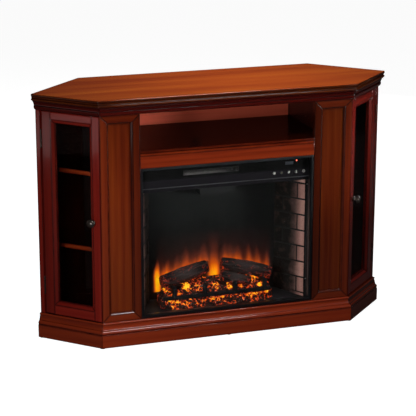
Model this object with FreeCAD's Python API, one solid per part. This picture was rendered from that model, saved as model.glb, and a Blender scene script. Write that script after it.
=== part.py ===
import FreeCAD, Part
import math
import os

Vector = FreeCAD.Vector

# Overall size: a flat hexagon in plan, with both ends cut at 45 degrees front and back
width = 1219.0
height = 819.0
front_chamfer = 174.0
rear_chamfer = 202.0
depth = front_chamfer + rear_chamfer

# Top slab and the moulding below it
slab_thickness = 21.5
slab_edge_cut = 4.0
cornice_height = 31.5
top_overhang = 20.0
rear_overhang = 2.0
slab_edge_shares = (
    (0.75, 0.0),
    (0.75, 0.33, 0.0, 0.165),
    (0.35, 0.62, 1.0, 0.46),
    (0.0, 0.66),
    (0.0, 0.9),
    (0.5, 1.0, 0.15, 0.97),
)
cornice_shares = (
    (0.85, 0.0),
    (0.575, 0.42, 0.62, 0.2),
    (0.7, 0.45),
    (0.25, 0.9, 0.6, 0.72),
    (0.2, 0.93),
    (0.2, 1.0),
)

# Base: moulded boards in front, plain rails behind, all on low glides
base_height = 83.0
base_board = 20.0
base_reveal = 2.0
rear_rail = 18.0
bearer_width = 16.0
glide_height = 2.0
glide_radius = 8.0
base_shares = (
    (0.1, 0.0),
    (0.1, 0.53),
    (0.22, 0.545),
    (0.22, 0.565),
    (0.14, 0.58),
    (0.5, 0.705, 0.22, 0.66),
    (0.78, 0.9, 0.7, 0.775),
    (0.78, 0.915),
    (0.78, 1.0, 0.6, 0.957),
)

# Carcass boards
carcass_board = 16.0
rear_panel = 12.0
back_board = 6.0
partition_setback = 42.0
cable_hole_radius = 25.0
cable_hole_drop = 62.0
vent_side_gap = 90.0
vent_rise = 122.0
vent_drop = 45.0
block_side = 32.0

# Pilasters: mitred frames with a sunk panel, one each side of the opening
opening_margin = 139.5
face_timber = 20.0
pilaster_member = 29.0
pilaster_bevel = 5.0
pilaster_bevel_depth = 5.0
pilaster_panel = 6.0
pilaster_panel_depth = 8.0
panel_tongue = 6.0

# Media shelf and the apron below it
shelf_nosing = 16.5
bay_height = 122.0
apron_height = 40.5
apron_thickness = 18.0
nosing_groove = 1.6
nosing_groove_drop = 6.5

# Glazed doors on the front chamfers
door_thickness = 19.0
door_gap_front = 2.0
door_gap_ends = 2.0
door_gap_hinge = 5.0
hinge_strip = 16.5
strip_thickness = 20.0
hinge_stile = 45.5
latch_stile = 39.0
top_rail = 38.0
bottom_rail = 44.0
door_bevel = 12.0
door_bevel_depth = 8.0
glass_thickness = 4.0
glass_depth = 10.0
glass_tongue = 8.0
knob_height = 418.0
knob_setback = 28.0
knob_radius = 13.5
knob_reach = 24.0
knob_neck_radius = 5.5
knob_foot_radius = 9.0
knob_screw_radius = 2.0
knob_screw_head = 4.5
knob_screw_head_height = 2.5
knob_screw_grip = 12.0

# Hinges and catches of the doors
hinge_rise = 97.0
hinge_drop = 94.0
hinge_length = 60.0
hinge_radius = 2.2
hinge_pin_radius = 1.1
hinge_pin_clearance = 0.05
hinge_leaf = 1.2
hinge_leaf_reach = 16.5
hinge_leaf_start = 2.6
hinge_segment_gap = 0.3
hinge_pin_head = 1.0
catch_drop = 146.0
catch_length = 36.0
catch_depth = 15.0
catch_width = 20.0
catch_gap = 0.3
catch_plate = 1.0

# Shelves behind the doors and their pins
side_shelf_tops = (294.5, 551.0)
side_shelf_thickness = 15.0
side_shelf_setback = 110.0
side_shelf_clearance = 1.0
pin_radius = 2.5
pin_length = 20.0
pin_share_front = 0.22
pin_share_back = 0.78

# Firebox insert: sheet casing and its front trim
sheet = 1.5
casing_side_gap = 6.0
casing_depth = 222.0
casing_top_gap = 5.5
trim_edge_gap = 0.5
trim_face = 8.5
trim_reveal = 1.5
glass_recess = 20.0
window_glass_thickness = 4.0
window_edge_gap = 0.5

# Control fascia above the window
fascia_thickness = 3.0
fascia_height = 86.5
fascia_step_height = 12.0
fascia_step_depth = 1.2
fascia_bead_radius = 1.5
grille_left = -148.0
grille_right = 43.0
grille_rise = 47.5
grille_height = 17.0
grille_thickness = 1.2
grille_border = 2.0
grille_pitch = 6.2
grille_bar = 1.1
grille_rows = 2
display_left = 203.0
display_right = 231.0
display_rise = 55.5
display_height = 10.5
display_thickness = 2.0
indicator_across = 242.4
indicator_rise = 68.0
indicator_radius = 1.6
indicator_proud = 0.8

# Push buttons in the fascia and the board behind them
button_names = ("flame_button", "timer_button", "heat_button", "temperature_button", "power_button")
button_left = 165.0
button_pitch = 25.6
button_rise = 30.0
button_radius = 5.0
button_clearance = 0.3
button_proud = 1.0
button_flange_radius = 6.2
button_flange = 1.2
button_stem_radius = 1.6
button_travel = 1.0
button_free_gap = 0.3
board_setback = 18.0
board_thickness = 1.6
board_margin = 14.0
switch_size = 6.0
switch_depth = 3.6
standoff_radius = 2.5

# Hearth behind the glass: brick side panels, flame screen, embers, grate and logs. Places across
# the fascia and the hearth are for an opening of the drawn half width, and stretch with the real one.
drawn_half_width = 296.0
brick_side_gap = 8.5
brick_front_depth = 41.0
brick_back_half_width = 220.0
screen_depth = 168.0
brick_thickness = 8.0
screen_thickness = 3.0
hood_half_width = 71.0
hood_drop = 51.0
hood_front = 112.0
hood_back = 160.0
hood_taper = 13.0
ember_left = -209.0
ember_right = 183.0
ember_front = 46.0
ember_back = 150.0
ember_height = 84.0
ember_wall = 5.0
ember_end_taper = 45.0
ember_shares = ((0.0, 0.0), (0.05, 0.5), (0.14, 0.66), (0.36, 0.8), (0.62, 1.0), (0.9, 0.86), (1.0, 0.0))
grate_left = -210.0
grate_right = 167.0
grate_front = 41.0
grate_bar = 12.0
grate_rise = 37.0
grate_post_left = -170.0
grate_post_pitch = 105.0
grate_posts = 4
grate_post_width = 14.0
grate_post_rise = 78.0
grate_rail_length = 66.0
prop_across = (-75.0, 60.0)
prop_width = 26.0
prop_front = 94.0
prop_depth = 18.0
prop_rise = 98.0
log_facets = 10
log_bark_shares = (1.0, 0.93, 1.02, 0.96, 1.05, 0.94, 1.0, 0.9, 1.03, 0.95)
left_log_path = ((-206.0, 78.0, 93.0), (-128.0, 92.0, 105.0), (-40.0, 108.0, 122.0))
left_log_radii = (20.0, 25.0, 20.0)
right_log_path = ((12.0, 112.0, 123.0), (96.0, 98.0, 107.0), (178.0, 80.0, 85.0))
right_log_radii = (20.0, 22.5, 20.0)
front_log_path = ((0.0, 78.0, 94.0), (50.0, 74.0, 81.0), (102.0, 66.0, 68.0))
front_log_radii = (15.0, 16.5, 13.0)

# Lamps under the ember bed
lamp_across = (-120.0, -13.0, 94.0)
lamp_from_screen = 68.0
lamp_socket_radius = 9.0
lamp_socket_height = 16.0
lamp_bulb_radius = 9.5
lamp_neck_radius = 6.0
lamp_neck_height = 6.0

# Turning spindle behind the flame screen
spindle_from_screen = 28.0
spindle_rise = 25.0
spindle_radius = 3.0
spindle_left = -212.0
spindle_right = 205.0
spindle_blades = 22
spindle_blade_radius = 16.0
spindle_blade_thickness = 1.0
spindle_blade_length = 15.0
spindle_blade_step = 50.0
bearing_clearance = 0.05
bracket_half_width = 14.0
motor_radius = 20.0
motor_length = 24.0
motor_end_gap = 0.3

# Fan heater above the hearth
duct_wall = 1.2
duct_margin = 5.0
duct_rise = 20.0
duct_top_gap = 7.0
duct_depth = 118.0
blower_from_glass = 78.0
blower_radius = 21.0
blower_hub_radius = 2.5
blower_vanes = 20
blower_vane_thickness = 1.0
blower_vane_width = 6.0
blower_disc = 1.6
blower_end_gap = 2.0
blower_motor_radius = 22.0
blower_motor_length = 34.0
element_from_glass = 24.0
element_thickness = 12.0
element_frame = 4.0
element_coils = 9
element_rod_radius = 1.6

# Fixings and inlet
bracket_sheet = 1.5
bracket_length = 30.0
bracket_height = 30.0
bracket_rise = 67.0
bracket_drop = 101.0
screw_radius = 1.8
screw_head_radius = 3.6
screw_head_height = 2.2
screw_length = 14.0
gland_across = 230.0
gland_rise = 57.0
gland_radius = 8.0
gland_bore = 3.5
gland_flange = 12.0
gland_flange_thickness = 2.5
gland_length = 12.0

# One overrun for every cut
over = 5.0

# Places worked out from the sizes above
half_front = width / 2 - front_chamfer
half_back = width / 2 - rear_chamfer
front_y = -depth / 2
back_y = depth / 2
slab_bottom = height - slab_thickness
cornice_bottom = slab_bottom - cornice_height
body_front_y = front_y + top_overhang
face_inset = top_overhang + face_timber
face_back_y = front_y + face_inset
inner_back_y = back_y - rear_overhang - back_board
floor_bottom = base_height - carcass_board
root_two = math.sqrt(2.0)
opening_half_width = half_front - opening_margin
stretch = opening_half_width / drawn_half_width
partition_inner = opening_half_width + partition_setback
partition_outer = partition_inner + carcass_board
media_floor = cornice_bottom - bay_height
apron_bottom = media_floor - shelf_nosing - apron_height
hinge_heights = (base_height + hinge_rise, cornice_bottom - hinge_drop)
catch_height = cornice_bottom - catch_drop
trim_front_y = body_front_y + trim_reveal
glass_front_y = trim_front_y + glass_recess
glass_back_y = glass_front_y + window_glass_thickness
trim_bottom = base_height + trim_edge_gap
trim_top = apron_bottom - trim_edge_gap
trim_outer_half_width = opening_half_width - trim_edge_gap
trim_inner_half_width = trim_outer_half_width - trim_face
trim_inner_bottom = trim_bottom + trim_face
trim_inner_top = trim_top - trim_face
hearth_floor = base_height + sheet
casing_front_y = trim_front_y + sheet
casing_back_y = casing_front_y + casing_depth
casing_top = trim_top - casing_top_gap
casing_half_width = opening_half_width - casing_side_gap
casing_inner = casing_half_width - sheet
bracket_heights = (base_height + bracket_rise, casing_top - bracket_drop)
fascia_bottom = trim_top - fascia_height
tray_height = fascia_bottom
screen_y = body_front_y + screen_depth
vent_half_width = casing_half_width - vent_side_gap
vent_bottom = base_height + vent_rise
vent_top = tray_height - vent_drop
hood_bottom = tray_height - hood_drop
brick_front_half_width = casing_inner - brick_side_gap
brick_back_x = brick_back_half_width * stretch
fascia_back_y = glass_front_y + fascia_thickness
board_y = glass_front_y + board_setback
grille_x = (grille_left * stretch, grille_right * stretch)
grille_bottom = fascia_bottom + grille_rise
grille_top = grille_bottom + grille_height
display_x = (display_left * stretch, display_right * stretch)
display_bottom = fascia_bottom + display_rise
display_top = display_bottom + display_height
indicator_x = indicator_across * stretch
indicator_height = fascia_bottom + indicator_rise
button_height = fascia_bottom + button_rise
button_places = [(button_left + index * button_pitch) * stretch for index in range(len(button_names))]
board_left = button_places[0] - board_margin * stretch
board_right = button_places[-1] + board_margin * stretch
board_low = button_height - board_margin
board_high = display_bottom - button_clearance
duct_bottom = fascia_bottom + duct_rise
duct_top = casing_top - duct_top_gap
ember_x = (ember_left * stretch, ember_right * stretch)
grate_x = (grate_left * stretch, grate_right * stretch)
grate_bottom = base_height + grate_rise
grate_post_top = base_height + grate_post_rise
prop_top = base_height + prop_rise
spindle_x = (spindle_left * stretch, spindle_right * stretch)
spindle_height = base_height + spindle_rise
gland_x = gland_across * stretch
gland_height = base_height + gland_rise


def plan(front, rear, back):
    """Corners of the hexagon, set in from the slab's edge: left side, front pair, right side, back pair."""
    front_line = half_front + depth / 2 - front * root_two
    rear_line = half_back + depth / 2 - rear * root_two
    near_y = front_y + front
    far_y = back_y - back
    side_x = (front_line + rear_line) / 2
    side_y = (rear_line - front_line) / 2
    right = [(front_line + near_y, near_y), (side_x, side_y), (rear_line - far_y, far_y)]
    left = [(-x, y) for x, y in right]
    return {
        "left_front": left[0], "left_side": left[1], "left_back": left[2],
        "right_front": right[0], "right_side": right[1], "right_back": right[2],
    }


def ring(corners):
    order = ("left_side", "left_front", "right_front", "right_side", "right_back", "left_back")
    return [corners[name] for name in order]


def box(x0, x1, y0, y1, z0, z1):
    return Part.makeBox(x1 - x0, y1 - y0, z1 - z0, Vector(x0, y0, z0))


def prism(points, z0, z1):
    corners = [Vector(x, y, z0) for x, y in points]
    wire = Part.makePolygon(corners + corners[:1])
    return Part.Face(wire).extrude(Vector(0, 0, z1 - z0))


def rod(start, direction, radius, length):
    return Part.makeCylinder(radius, length, Vector(*start), Vector(*direction))


def mirrored(shape):
    return shape.mirror(Vector(0, 0, 0), Vector(1, 0, 0))


def save(name, shapes):
    solids = []
    for shape in shapes:
        solids.extend(shape.Solids)
    shape = solids[0] if len(solids) == 1 else Part.makeCompound(solids)
    shape.exportStep("parts/" + name + ".step")


def on_chamfer(shape):
    """Puts a shape drawn along X, inward Y, on the right front chamfer, from its front arris."""
    corner = plan(top_overhang, rear_overhang, rear_overhang)["right_front"]
    turn = FreeCAD.Rotation(Vector(0, 0, 1), math.degrees(math.atan2(1, 1)))
    moved = shape.copy()
    moved.Placement = FreeCAD.Placement(Vector(corner[0], corner[1], 0), turn).multiply(moved.Placement)
    return moved


def chamfer_length():
    corners = plan(top_overhang, rear_overhang, rear_overhang)
    start = Vector(*corners["right_front"], 0)
    return start.distanceToPoint(Vector(*corners["right_side"], 0))


def moulding(shares, projection, rise, z0, inner, side):
    """A moulded bar of full length along one front side of the hexagon, in front of the inset inner."""
    if side == "front":
        origin = Vector(0, front_y, 0)
        along = Vector(1, 0, 0)
        inward = Vector(0, 1, 0)
    else:
        origin = Vector(half_front, front_y, 0)
        along = Vector(1 / root_two, 1 / root_two, 0)
        inward = Vector(-1 / root_two, 1 / root_two, 0)

    def place(inset, z):
        return origin - along * width + inward * inset + Vector(0, 0, z)

    here = place(shares[0][0] * projection, z0)
    first = here
    edges = []
    for share in shares[1:]:
        there = place(share[0] * projection, z0 + share[1] * rise)
        if len(share) == 4:
            middle = place(share[2] * projection, z0 + share[3] * rise)
            edges.append(Part.Arc(here, middle, there).toShape())
        else:
            edges.append(Part.makeLine(here, there))
        here = there
    for there in (place(inner, z0 + rise), place(inner, z0), first):
        edges.append(Part.makeLine(here, there))
        here = there
    return Part.Face(Part.Wire(edges)).extrude(along * (width + width))


def mitred(bar, side, outer, inner, z0, z1):
    """Keeps the part of a bar between its two mitres."""
    out = plan(-outer, rear_overhang, rear_overhang)
    back = plan(inner, rear_overhang, rear_overhang)
    if side == "front":
        names = ("left_front", "right_front")
    else:
        names = ("right_front", "right_side")
    points = [out[names[0]], out[names[1]], back[names[1]], back[names[0]]]
    return bar.common(prism(points, z0, z1))


def picture_frame(length, z0, z1, thickness, members, bevel, groove):
    """Four members round an opening, in local X, Z and inward Y: bevelled inside and grooved for a panel."""
    left, right, bottom, top = members
    bevel_width, bevel_depth = bevel
    groove_depth, groove_width, groove_start = groove
    x0 = left
    x1 = length - right
    low = z0 + bottom
    high = z1 - top
    block = box(0, length, 0, thickness, z0, z1)
    block = block.cut(box(x0, x1, -over, thickness + over, low, high))

    def loop(y, grow):
        corners = [
            Vector(x0 - grow, y, low - grow), Vector(x1 + grow, y, low - grow),
            Vector(x1 + grow, y, high + grow), Vector(x0 - grow, y, high + grow),
        ]
        return Part.makePolygon(corners + corners[:1])

    block = block.cut(Part.makeLoft([loop(0, bevel_width), loop(bevel_depth, 0)], True, True))
    groove_box = box(x0 - groove_depth, x1 + groove_depth, groove_start, groove_start + groove_width,
                     low - groove_depth, high + groove_depth)
    return block.cut(groove_box), (x0, x1, low, high)


def cut_outline(points, thickness):
    """A cutter through a frame, from points in local X and Z."""
    corners = [Vector(x, -over, z) for x, z in points]
    wire = Part.makePolygon(corners + corners[:1])
    return Part.Face(wire).extrude(Vector(0, thickness + over + over, 0))


def top_and_mouldings():
    slab = prism(ring(plan(0, 0, 0)), slab_bottom, height)
    inner = depth + width
    side = moulding(slab_edge_shares, slab_edge_cut, slab_thickness, slab_bottom, inner, "right")
    front = moulding(slab_edge_shares, slab_edge_cut, slab_thickness, slab_bottom, inner, "front")
    save("top_panel", [slab.common(front).common(side).common(mirrored(side))])

    front = moulding(cornice_shares, top_overhang, cornice_height, cornice_bottom, face_inset, "front")
    side = moulding(cornice_shares, top_overhang, cornice_height, cornice_bottom, face_inset, "right")
    front = mitred(front, "front", over, face_inset, cornice_bottom, slab_bottom)
    side = mitred(side, "right", over, face_inset, cornice_bottom, slab_bottom)
    save("cornice_front", [front])
    save("cornice_sides", [mirrored(side), side])

    rise = base_height - glide_height
    inner = base_board + base_reveal
    front = moulding(base_shares, base_board, rise, glide_height, inner, "front")
    side = moulding(base_shares, base_board, rise, glide_height, inner, "right")
    front = mitred(front, "front", over, inner, glide_height, base_height)
    side = mitred(side, "right", over, inner, glide_height, base_height)
    save("base_front", [front])
    save("base_sides", [mirrored(side), side])


def base_frame():
    board_inner = base_board + base_reveal
    rail_inner = rear_overhang + rear_rail
    out = plan(board_inner, rear_overhang, rear_overhang)
    back = plan(board_inner, rail_inner, rail_inner)
    low, high = glide_height, floor_bottom
    rear = prism([out["left_back"], out["right_back"], back["right_back"], back["left_back"]], low, high)
    side = prism([out["right_side"], out["right_back"], back["right_back"], back["right_side"]], low, high)
    bearer = box(partition_inner, partition_inner + bearer_width, front_y + board_inner, back_y - rail_inner,
                 low, high)
    save("base_rails", [rear, side, mirrored(side), bearer, mirrored(bearer)])

    middle_inset = (base_board + base_reveal + base_reveal) / 2
    middle_rail = rear_overhang + rear_rail / 2
    feet = ring(plan(middle_inset, middle_rail, middle_rail))
    feet += [(0, front_y + middle_inset), (0, back_y - middle_rail)]
    save("floor_glides", [rod((x, y, 0), (0, 0, 1), glide_radius, glide_height) for x, y in feet])

    blocks = []
    for x0, x1, y0, lean in (
        (partition_inner, partition_inner - block_side, front_y + board_inner, 1),
        (partition_inner, partition_inner - block_side, back_y - rail_inner, -1),
        (partition_inner + bearer_width, partition_inner + bearer_width + block_side, back_y - rail_inner, -1),
    ):
        points = [(x0, y0), (x1, y0), (x0, y0 + lean * block_side)]
        block = prism(points, high - block_side, high)
        blocks += [block, mirrored(block)]
    save("corner_blocks", blocks)


def carcass():
    floor = plan(base_board + base_reveal, rear_overhang + rear_panel, rear_overhang + back_board)
    save("bottom_panel", [prism(ring(floor), floor_bottom, base_height)])

    partition = box(partition_inner, partition_outer, face_back_y, inner_back_y, base_height, slab_bottom)
    strip_back = top_overhang + strip_thickness
    outer = plan(strip_back, rear_overhang, rear_overhang + back_board)
    inner = plan(strip_back, rear_overhang + rear_panel, rear_overhang + back_board)
    points = [outer["right_side"], outer["right_back"], inner["right_back"], inner["right_side"]]
    rear = prism(points, floor_bottom, slab_bottom)

    back = plan(top_overhang, rear_overhang, rear_overhang)
    inner = plan(top_overhang, rear_overhang, rear_overhang + back_board)
    board = prism([back["left_back"], back["right_back"], inner["right_back"], inner["left_back"]],
                  floor_bottom, slab_bottom)
    board = board.cut(box(-vent_half_width, vent_half_width, inner_back_y - over, back_y, vent_bottom, vent_top))
    board = board.cut(rod((0, inner_back_y - over, slab_bottom - cable_hole_drop), (0, 1, 0),
                          cable_hole_radius, back_board + over + over))
    save("back_panel", [board])

    shelves, pins, holes = side_shelves()
    save("side_shelves", shelves)
    save("shelf_pins", pins)
    for hole in holes:
        partition = partition.cut(hole)
        rear = rear.cut(hole)
    save("partitions", [mirrored(partition), partition])
    save("side_rear_panels", [mirrored(rear), rear])


def side_shelves():
    inset = top_overhang + side_shelf_setback
    rear = rear_overhang + rear_panel + side_shelf_clearance
    back = rear_overhang + back_board + side_shelf_clearance
    corners = plan(inset, rear, back)
    inner_x = partition_outer + side_shelf_clearance
    front_line = half_front + depth / 2 - inset * root_two
    points = [
        (inner_x, inner_x - front_line), corners["right_side"],
        corners["right_back"], (inner_x, back_y - back),
    ]
    shelves = []
    pins = []
    right_pins = []
    for top in side_shelf_tops:
        bottom = top - side_shelf_thickness
        shelf = prism(points, bottom, top)
        shelves += [mirrored(shelf), shelf]
        z = bottom - pin_radius
        for share in (pin_share_front, pin_share_back):
            y = points[0][1] + (points[3][1] - points[0][1]) * share
            right_pins.append(rod((partition_outer - pin_length / 2, y, z), (1, 0, 0), pin_radius, pin_length))
            start = Vector(*corners["right_side"], z)
            end = Vector(*corners["right_back"], z)
            seat = start + (end - start) * share
            out = Vector(1 / root_two, 1 / root_two, 0)
            seat = seat + out * (side_shelf_clearance + pin_length / 2 - pin_radius)
            right_pins.append(Part.makeCylinder(pin_radius, pin_length, seat, out * -1))
    for pin in right_pins:
        pins += [mirrored(pin), pin]
    return shelves, pins, right_pins


def media_bay():
    nosing_bottom = media_floor - shelf_nosing
    front = box(-opening_half_width, opening_half_width, body_front_y, face_back_y, nosing_bottom, media_floor)
    board = box(-partition_inner, partition_inner, face_back_y, inner_back_y, nosing_bottom, media_floor)
    groove_top = media_floor - nosing_groove_drop
    groove = box(-width, width, body_front_y - over, body_front_y + nosing_groove,
                 groove_top - nosing_groove, groove_top)
    save("media_shelf", [front.fuse(board).removeSplitter().cut(groove)])
    save("media_apron", [box(-opening_half_width, opening_half_width, body_front_y,
                             body_front_y + apron_thickness, apron_bottom, nosing_bottom)])


def pilasters():
    corner_x = plan(top_overhang, rear_overhang, rear_overhang)["right_front"][0]
    length = corner_x - opening_half_width
    members = (pilaster_member,) * 4
    block, opening = picture_frame(
        length, base_height, cornice_bottom, face_timber, members,
        (pilaster_bevel, pilaster_bevel_depth), (panel_tongue, pilaster_panel, pilaster_panel_depth))
    x0, x1, low, high = opening
    slope = [(length, 0), (length + over, 0), (length + over, face_timber), (length - face_timber, face_timber)]
    block = block.cut(prism(slope, base_height - over, cornice_bottom + over))
    for shank in bracket_shanks("pilaster"):
        shank.translate(Vector(-opening_half_width, -body_front_y, 0))
        block = block.cut(shank)
    far = length + over
    below = base_height - over
    above = cornice_bottom + over
    bottom = cut_outline([(-over, below), (far, below), (x1, low), (x0, low)], face_timber)
    top = cut_outline([(-over, above), (far, above), (x1, high), (x0, high)], face_timber)
    rails = [block.common(bottom), block.common(top)]
    stiles = block.cut(bottom).cut(top)
    panel_back = pilaster_panel_depth + pilaster_panel
    panel = box(x0 - panel_tongue, x1 + panel_tongue, pilaster_panel_depth, panel_back,
                low - panel_tongue, high + panel_tongue)
    move = Vector(opening_half_width, body_front_y, 0)
    pieces = []
    for shape in rails + [stiles]:
        shape.translate(move)
        pieces.append(shape)
    panel.translate(move)
    save("pilaster_frames", pieces + [mirrored(piece) for piece in pieces])
    save("pilaster_panels", [mirrored(panel), panel])


def door_pieces():
    """Every piece of the right door, drawn along the chamfer from its front arris."""
    length = chamfer_length()
    door_length = length - door_gap_front - hinge_strip - door_gap_hinge
    low_edge = base_height + door_gap_ends
    high_edge = cornice_bottom - door_gap_ends
    block, opening = picture_frame(
        door_length, low_edge, high_edge, door_thickness, (latch_stile, hinge_stile, bottom_rail, top_rail),
        (door_bevel, door_bevel_depth), (glass_tongue, glass_thickness, glass_depth))
    x0, x1, low, high = opening
    pane = box(x0 - glass_tongue, x1 + glass_tongue, glass_depth, glass_depth + glass_thickness,
               low - glass_tongue, high + glass_tongue)
    stile_x0 = x0 - door_bevel
    stile_x1 = x1 + door_bevel
    below = low_edge - over
    above = high_edge + over
    joint = low - door_bevel
    bottom = cut_outline([(stile_x0, below), (stile_x1, below), (stile_x1, joint), (x1, low), (x0, low),
                          (stile_x0, joint)], door_thickness)
    joint = high + door_bevel
    top = cut_outline([(stile_x0, above), (stile_x1, above), (stile_x1, joint), (x1, high), (x0, high),
                       (stile_x0, joint)], door_thickness)

    knob_x = knob_setback
    knob, screw = door_knob(knob_x)
    block = block.cut(screw)
    rails = [block.common(bottom), block.common(top)]
    stiles = block.cut(bottom).cut(top)
    plate_z = catch_height + catch_length / 2
    plate = box(door_gap_front, catch_width - door_gap_front, door_thickness, door_thickness + catch_plate,
                catch_height - catch_length / 2, plate_z)
    move = Vector(door_gap_front, 0, 0)
    for shape in rails + [stiles, pane, knob, screw, plate]:
        shape.translate(move)
    return {"frame": rails + [stiles], "glass": [pane], "knob": [knob, screw], "catch_plate": [plate]}


def door_knob(x):
    """Turned knob with a foot, a neck and a domed head, and the screw that holds it from inside."""
    head_start = knob_reach - knob_radius
    points = [
        Vector(0, knob_screw_grip, 0), Vector(knob_screw_radius, knob_screw_grip, 0),
        Vector(knob_screw_radius, 0, 0), Vector(knob_foot_radius, 0, 0),
        Vector(knob_foot_radius, knob_screw_head_height, 0), Vector(knob_neck_radius, knob_foot_radius / 2, 0),
        Vector(knob_neck_radius, head_start, 0),
    ]
    edges = [Part.makeLine(points[i], points[i + 1]) for i in range(len(points) - 1)]
    rim = Vector(knob_radius, head_start + knob_foot_radius / 2, 0)
    crown = Vector(0, knob_reach, 0)
    rise = crown.y - rim.y
    dome_radius = (rise * rise + knob_radius * knob_radius) / (2 * rise)
    centre = Vector(0, knob_reach - dome_radius, 0)
    shoulder = centre + ((rim + crown) / 2 - centre).normalize() * dome_radius
    edges.append(Part.makeLine(points[-1], rim))
    edges.append(Part.Arc(rim, shoulder, crown).toShape())
    edges.append(Part.makeLine(crown, points[0]))
    knob = Part.Face(Part.Wire(edges)).revolve(Vector(0, 0, 0), Vector(0, -1, 0), math.degrees(2 * math.pi))
    knob.rotate(Vector(0, 0, 0), Vector(0, 0, 1), math.degrees(math.pi))
    knob.translate(Vector(x, 0, knob_height))
    shank = rod((x, -knob_screw_grip, knob_height), (0, 1, 0), knob_screw_radius, knob_screw_grip + door_thickness)
    head = rod((x, door_thickness, knob_height), (0, 1, 0), knob_screw_head, knob_screw_head_height)
    return knob, shank.fuse(head)


def hinge_leaves():
    """Leaves of the right door's hinges, along the chamfer: on the door, and on the strip with the pin."""
    strip_edge = chamfer_length() - hinge_strip
    door_edge = strip_edge - door_gap_hinge
    axis_x = strip_edge - door_gap_hinge / 2
    bore = hinge_pin_radius + hinge_pin_clearance
    segment = hinge_length / 3
    on_door = []
    on_strip = []
    for middle in hinge_heights:
        low = middle - hinge_length / 2
        high = low + hinge_length
        door_low = low + segment + hinge_segment_gap
        door_high = high - segment - hinge_segment_gap
        door_leaf = box(door_edge, door_edge + hinge_leaf, hinge_leaf_start, hinge_leaf_reach, low, high)
        web = box(door_edge, door_edge + hinge_leaf, 0, hinge_leaf_reach, door_low, door_high)
        knuckle = rod((axis_x, 0, door_low), (0, 0, 1), hinge_radius, door_high - door_low)
        hole = rod((axis_x, 0, low), (0, 0, 1), bore, hinge_length)
        on_door.append(door_leaf.fuse(web).fuse(knuckle).removeSplitter().cut(hole))
        strip_leaf = box(strip_edge - hinge_leaf, strip_edge, hinge_leaf_start, hinge_leaf_reach, low, high)
        pin = rod((axis_x, 0, low - hinge_pin_head), (0, 0, 1), hinge_pin_radius,
                  hinge_length + hinge_pin_head + hinge_pin_head)
        strip_leaf = strip_leaf.fuse(pin)
        for start in (low, high - segment):
            web = box(strip_edge - hinge_leaf, strip_edge, 0, hinge_leaf_reach, start, start + segment)
            knuckle = rod((axis_x, 0, start), (0, 0, 1), hinge_radius, segment)
            strip_leaf = strip_leaf.fuse(web).fuse(knuckle)
        on_strip.append(strip_leaf.removeSplitter())
    return on_door, on_strip


def doors():
    pieces = door_pieces()
    on_door, on_strip = hinge_leaves()
    pieces["hinge_leaves"] = on_door
    for name, shapes in pieces.items():
        placed = [on_chamfer(shape) for shape in shapes]
        save("right_door_" + name, placed)
        save("left_door_" + name, [mirrored(shape) for shape in placed])
    placed = [on_chamfer(shape) for shape in on_strip]
    save("hinge_frame_leaves", placed + [mirrored(shape) for shape in placed])

    length = chamfer_length()
    strip = on_chamfer(box(length - hinge_strip, length, 0, strip_thickness, base_height, cornice_bottom))
    save("hinge_strips", [mirrored(strip), strip])
    catch_y = door_thickness + catch_plate + catch_gap
    catch = on_chamfer(box(0, catch_width, catch_y, catch_y + catch_depth,
                           catch_height - catch_length / 2, catch_height + catch_length / 2))
    save("door_catches", [mirrored(catch), catch])


def casing():
    """Five sheet walls open to the front, with two lugs for the spindle, and its trim."""
    shell = box(-casing_half_width, casing_half_width, casing_front_y, casing_back_y, base_height, casing_top)
    hollow = box(-casing_inner, casing_inner, casing_front_y - over, casing_back_y - sheet,
                 hearth_floor, casing_top - sheet)
    shell = shell.cut(hollow)
    spindle_y = screen_y + spindle_from_screen
    bore = spindle_radius + bearing_clearance
    for x in (spindle_x[0] - sheet, spindle_x[1]):
        lug = box(x, x + sheet, spindle_y - bracket_half_width, spindle_y + bracket_half_width,
                  hearth_floor, spindle_height + bracket_half_width)
        shell = shell.fuse(lug.cut(rod((x - over, spindle_y, spindle_height), (1, 0, 0), bore, sheet + over + over)))
    shell = shell.removeSplitter()
    for shank in bracket_shanks("casing"):
        shell = shell.cut(shank).cut(mirrored(shank))
    gland_hole = rod((gland_x, casing_back_y - sheet - over, gland_height), (0, 1, 0),
                     gland_radius, sheet + over + over)
    save("insert_casing", [shell.cut(gland_hole)])

    face = box(-trim_outer_half_width, trim_outer_half_width, trim_front_y, casing_front_y, trim_bottom, trim_top)
    lip = box(-trim_inner_half_width - sheet, trim_inner_half_width + sheet, trim_front_y, glass_front_y,
              trim_inner_bottom - sheet, trim_inner_top + sheet)
    hole = box(-trim_inner_half_width, trim_inner_half_width, trim_front_y - over, glass_front_y + over,
               trim_inner_bottom, trim_inner_top)
    save("insert_front_frame", [face.fuse(lip).removeSplitter().cut(hole)])

    glass = box(-casing_inner + window_edge_gap, casing_inner - window_edge_gap, glass_front_y, glass_back_y,
                trim_inner_bottom - sheet, fascia_bottom)
    save("window_glass", [glass])


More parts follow.
